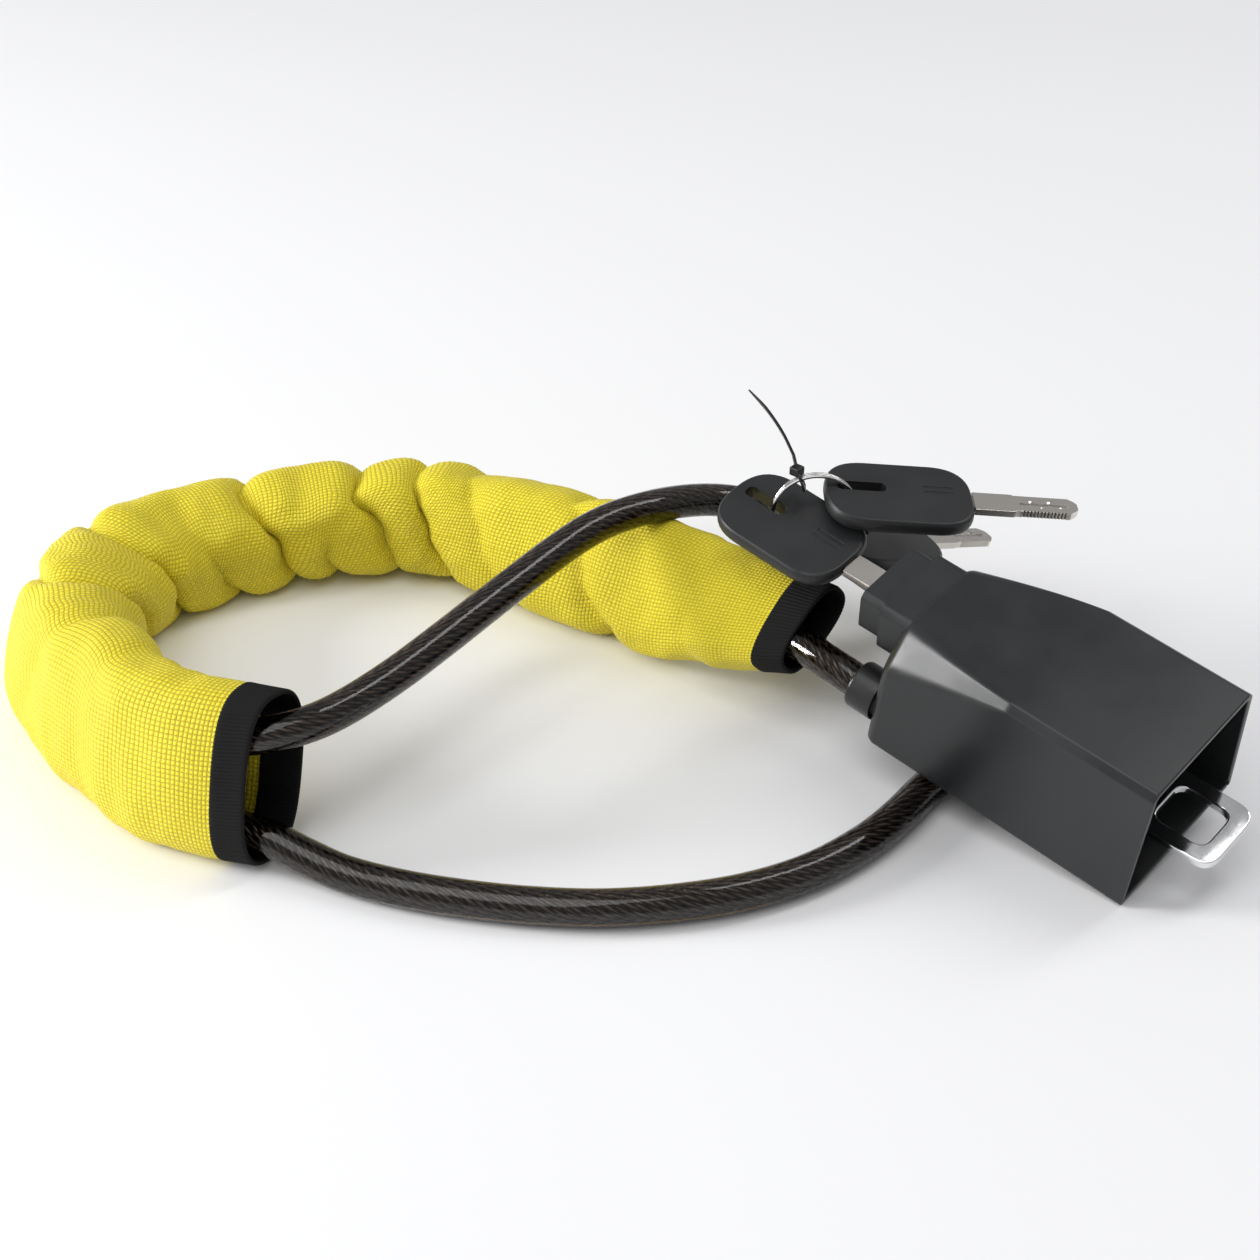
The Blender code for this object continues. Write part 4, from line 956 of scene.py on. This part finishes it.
def make_tongue():
    """Plate with round corners, a latch hole with round corners and two rivet holes."""
    low, high = TONGUE_HEIGHT - TONGUE_THICKNESS / 2, TONGUE_HEIGHT + TONGUE_THICKNESS / 2
    half = TONGUE_WIDTH / 2
    tongue = plate("tongue_plate", (-TONGUE_BACK, TONGUE_TIP), (-half, half), (low, high), TONGUE_CORNER)
    back, front, width = TONGUE_HOLE
    tools = [plate("latch_hole_tool", (back, front), (-width / 2, width / 2), (0.0, 2 * high),
                   TONGUE_HOLE_CORNER)]
    for index in (1, 2):
        box_low, box_high = (Vector(corner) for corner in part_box(f"tongue_rivet_{index}"))
        x, y, _ = HOUSING.inverted() @ ((box_low + box_high) / 2)
        tools.append(cylinder("rivet_hole_tool", (x, y, low - MM), (x, y, high + MM), RIVET_HOLE, sides=24))
    cut(tongue, tools)
    soften(tongue, 0.45 * MM, 3, 40.0)
    tongue.matrix_world = HOUSING
    place(tongue, MIRROR_STEEL, "housing", "tongue")


def make_spring():
    """Round wire coiled round the pusher rod."""
    middle = Vector((0.0, 0.0, LOCK_HEIGHT))
    steps = SPRING_TURNS * POINTS_PER_TURN
    angles = np.arange(steps + 1) * TAU / POINTS_PER_TURN
    line = turned_arc(middle, Vector((0.0, SPRING_RADIUS, 0.0)), Vector((0.0, 0.0, SPRING_RADIUS)), angles)
    line[:, 0] = np.linspace(SPRING_BACK, SPRING_FRONT, steps + 1)
    rings = [[HOUSING @ Vector(p) for p in ring] for ring in tube_rings(line, SPRING_WIRE, 10)]
    spring = skin("return_spring_coil", rings)
    spring.data.shade_smooth()
    place(spring, SPRING_STEEL, "housing", "return_spring")
    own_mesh(spring)


# ---------------------------------------------------------------- keys, ring and tie

def node_points(node):
    """A CAD node's corners, one row each."""
    return np.array([v.co for v in NODES[node].data.vertices], float)


def key_frame(number):
    """A key's own frame, from its CAD meshes: +X from bow to blade, +Z out of the bow's upper face."""
    bow, blade = node_points(f"key_{number}_bow"), node_points(f"key_{number}_blade")
    thin = np.linalg.svd(bow - bow.mean(axis=0), full_matrices=False)[2][2]
    thin = thin if thin[2] > 0 else -thin
    long_way = np.linalg.svd(blade - blade.mean(axis=0), full_matrices=False)[2][0]
    long_way = long_way if long_way.dot(blade.mean(axis=0) - bow.mean(axis=0)) > 0 else -long_way
    long_way -= thin * thin.dot(long_way)
    long_way /= np.linalg.norm(long_way)
    turn = np.stack([long_way, np.cross(thin, long_way), thin])
    local = bow @ turn.T
    low, high = local.min(axis=0), local.max(axis=0)
    origin = turn.T @ np.array([low[0], (low[1] + high[1]) / 2, (low[2] + high[2]) / 2])
    matrix = Matrix.Translation(origin) @ Matrix(turn.T.tolist()).to_4x4()
    return matrix, high - low


def both_faces(near, far):
    """Each face's sign with its two heights from low to high, alike above and below."""
    return (1, (near, far)), (-1, (-far, -near))


def make_bow(number, matrix, size):
    """Soft-edged plate with a slot for the ring and two fine sunk lines near the blade."""
    length, width, thick = size
    corners = [(0.0, -width / 2), (length, -width / 2), (length, width / 2), (0.0, width / 2)]
    steps = [(-z, inset) for z, inset in BOW_EDGE] + [(0.0, 0.0)] + list(reversed(BOW_EDGE))
    rings = []
    for z, inset in steps:
        inner = [(x + inset * MM * (1 if x == 0 else -1), y - inset * MM * math.copysign(1, y))
                 for x, y in corners]
        radii = [BOW_FREE_CORNER, BOW_BLADE_CORNER, BOW_BLADE_CORNER, BOW_FREE_CORNER]
        rings.append([(p.x, p.y, z * thick / 2) for p in rounded(inner, radii, 12)])
    bow = skin(f"key_{number}_bow_plastic", rings)
    tools = [plate("slot_tool", RING_SLOT_ENDS, RING_SLOT_SIDES, (-thick, thick), 1.7 * MM)]
    for y in BOW_LINE_OFFSETS:
        for _, heights in both_faces(thick / 2 - 0.3 * MM, thick):
            tools.append(plate("line_tool", BOW_LINE_ENDS, (y - BOW_LINE_HALF, y + BOW_LINE_HALF), heights,
                               0.4 * MM))
    tools.append(box("tang_tool", (length - TANG_LENGTH, -TANG_HALF_WIDTH, -BLADE_HALF_THICK),
                     (length + MM, TANG_HALF_WIDTH, BLADE_HALF_THICK)))
    cut(bow, tools)
    soften(bow, 0.18 * MM, 2, 40.0)
    bow.matrix_world = matrix
    place(bow, BOW_BLACK, KEY_BODIES[number], f"key_{number}_bow")


def make_blade(number, matrix, size):
    """Stepped blade with a milled track, dimples on both faces and fine cuts along both edges."""
    node = f"key_{number}_blade"
    blade = soften(cad_copy(node), 0.18 * MM, 2, 40.0)
    base = size[0]
    tools = []
    for side, heights in both_faces(BLADE_HALF_THICK - 0.35 * MM, 2 * BLADE_HALF_THICK):
        track_ends = tuple(base + end for end in BLADE_TRACK)
        middle = side * -0.4 * MM
        tools.append(plate("track_tool", track_ends, (middle - 0.6 * MM, middle + 0.6 * MM), heights,
                           0.5 * MM))
        for along, offset, width in BLADE_DIMPLES:
            centre = (base + along * MM, side * offset * MM)
            deep, high = BLADE_HALF_THICK - 0.55 * MM, BLADE_HALF_THICK + 0.35 * MM
            tools.append(cylinder("dimple_tool", (*centre, side * deep), (*centre, side * high),
                                  width * 0.35 * MM, sides=16, end_radius=width * 1.15 * MM))
        for i in range(EDGE_CUTS):
            centre = (base + FIRST_EDGE_CUT + i * EDGE_CUT_PITCH, side * EDGE_CUT_OFFSET)
            tools.append(cylinder("edge_tool", (*centre, -2 * MM), (*centre, 2 * MM), 0.3 * MM, sides=8))
    for tool in tools:
        tool.matrix_world = matrix
    cut(blade, tools)
    smooth(blade, 28.0)
    place(blade, KEY_NICKEL, KEY_BODIES[number], node)


def make_keys():
    """One key in the lock and two loose on the ring, all alike."""
    for number in KEY_BODIES:
        matrix, size = key_frame(number)
        make_bow(number, matrix, size)
        make_blade(number, matrix, size)


def make_ring():
    """Split ring: two flat turns side by side, stepping over each other at the ends."""
    shares = np.linspace(0, 1, 221)
    angles = math.radians(200.0) + 2 * TAU * shares
    line = turned_arc(RING_CENTRE, RING_ACROSS * RING_RADIUS, STRAIGHT_UP * RING_RADIUS, angles)
    line += np.outer(RING_STEP_OVER * np.tanh((shares - 0.5) * 26.0), RING_NORMAL)
    side = np.array(RING_NORMAL)
    ups = np.cross(unit(np.gradient(line, axis=0)), side)
    turns = np.arange(16) * TAU / 16
    rings = [[point + side * RING_HALF_WIDE * squared(math.cos(turn), 0.6)
              + up * RING_HALF_DEEP * squared(math.sin(turn), 0.6) for turn in turns]
             for point, up in zip(line, ups)]
    ring = smooth(skin("key_ring_split", rings), 60.0)
    place(ring, RING_NICKEL, "key_ring", "key_ring")


def strap_rings(line, tail_length):
    """Flat sections along the tie: thin at the tip, with ratchet teeth on one face of the tail."""
    tangents = unit(np.gradient(line, axis=0))
    wide = unit(np.cross(tangents, np.array(RING_ACROSS)))
    flat = np.cross(tangents, wide)
    rings = []
    for i, distance in enumerate(distances(line)):
        taper = min(1.0, 0.25 + distance / TIE_TAPER)
        toothed = 0.28 * tail_length < distance < tail_length + 6.0 * MM
        tooth = 0.22 * MM * (i % 2) if toothed else 0.1 * MM
        half_thick = TIE_HALF_THICK * (0.5 + 0.5 * taper)
        rings.append([line[i] + wide[i] * TIE_HALF_WIDE * taper * a + flat[i] * height
                      for a, height in ((1, half_thick - tooth), (-1, half_thick - tooth),
                                        (-1, -half_thick), (1, -half_thick))])
    return rings


def make_tie():
    """Cable tie: a toothed strap looped round the ring, with a small square head."""
    outward = RING_ACROSS * math.cos(TIE_RING_ANGLE) + STRAIGHT_UP * math.sin(TIE_RING_ANGLE)
    turns = np.radians(np.linspace(100.0, 410.0, 61))
    loop = turned_arc(RING_CENTRE + outward * RING_RADIUS, -RING_NORMAL * TIE_LOOP_RADIUS,
                      outward * TIE_LOOP_RADIUS, turns)
    tail = smooth_route(TIE_ROUTE, TIE_STEP)
    line = respaced(np.concatenate([tail, loop]), TIE_STEP)
    strap = skin("tie_strap", strap_rings(line, line_length(tail)))
    head_at = Vector(loop[0])
    head = soften(box("tie_head", head_at - TIE_HEAD_HALF, head_at + TIE_HEAD_HALF), 0.4 * MM, 3)
    cut(strap, [head], "UNION")
    smooth(strap, 40.0)
    place(strap, TIE_BLACK, "cable_tie", "cable_tie")


# ---------------------------------------------------------------- stage

OBJECT_MIDDLE = Vector((-0.08, -0.07, 0.03))


def make_floor():
    """Wide pale floor under the object."""
    floor = box("floor", (-4.0, -4.0, -0.05), (4.0, 4.0, 0.0))
    finish = Finish("pale_floor", Roughness=0.75)
    mottled = finish.noise(finish.coordinates(), 3.0, 4.0)
    finish.join(finish.colours(mottled, (0.91, 0.91, 0.92), (0.93, 0.93, 0.935)), "Base Color")
    floor.data.materials.append(finish.material)


def add_area(name, towards, distance, size, power):
    """Rectangular light at a distance from the object's middle, turned to it."""
    data = bpy.data.lights.new(name, "AREA")
    data.shape = "RECTANGLE"
    data.size, data.size_y = size
    data.energy = power
    light = bpy.data.objects.new(name, data)
    bpy.context.scene.collection.objects.link(light)
    light.location = OBJECT_MIDDLE + Vector(towards).normalized() * distance
    light.rotation_euler = (OBJECT_MIDDLE - light.location).to_track_quat("-Z", "Y").to_euler()


def make_lights():
    """Even pale surroundings, a hard side light, a wide front light and a strip behind."""
    world = bpy.data.worlds.new("studio")
    world.use_nodes = True
    background = world.node_tree.nodes["Background"]
    background.inputs["Color"].default_value = (0.97, 0.98, 1.0, 1.0)
    background.inputs["Strength"].default_value = 0.34
    bpy.context.scene.world = world
    add_area("softbox_left", (-0.711, -0.652, 0.30), 1.5, (0.40, 0.7), 21.0)
    add_area("softbox_front", (0.05, -0.50, 1.0), 2.6, (2.0, 2.0), 24.0)
    add_area("strip_back", (0.24, 0.54, 0.82), 1.6, (0.36, 1.4), 6.5)
    bpy.context.scene.view_settings.view_transform = "Standard"


make_camera()
make_softened_pieces()
make_cable()
make_sleeve()
make_shroud()
make_tongue()
make_fasteners()
make_spring()
make_keys()
make_ring()
make_tie()
make_floor()
make_lights()
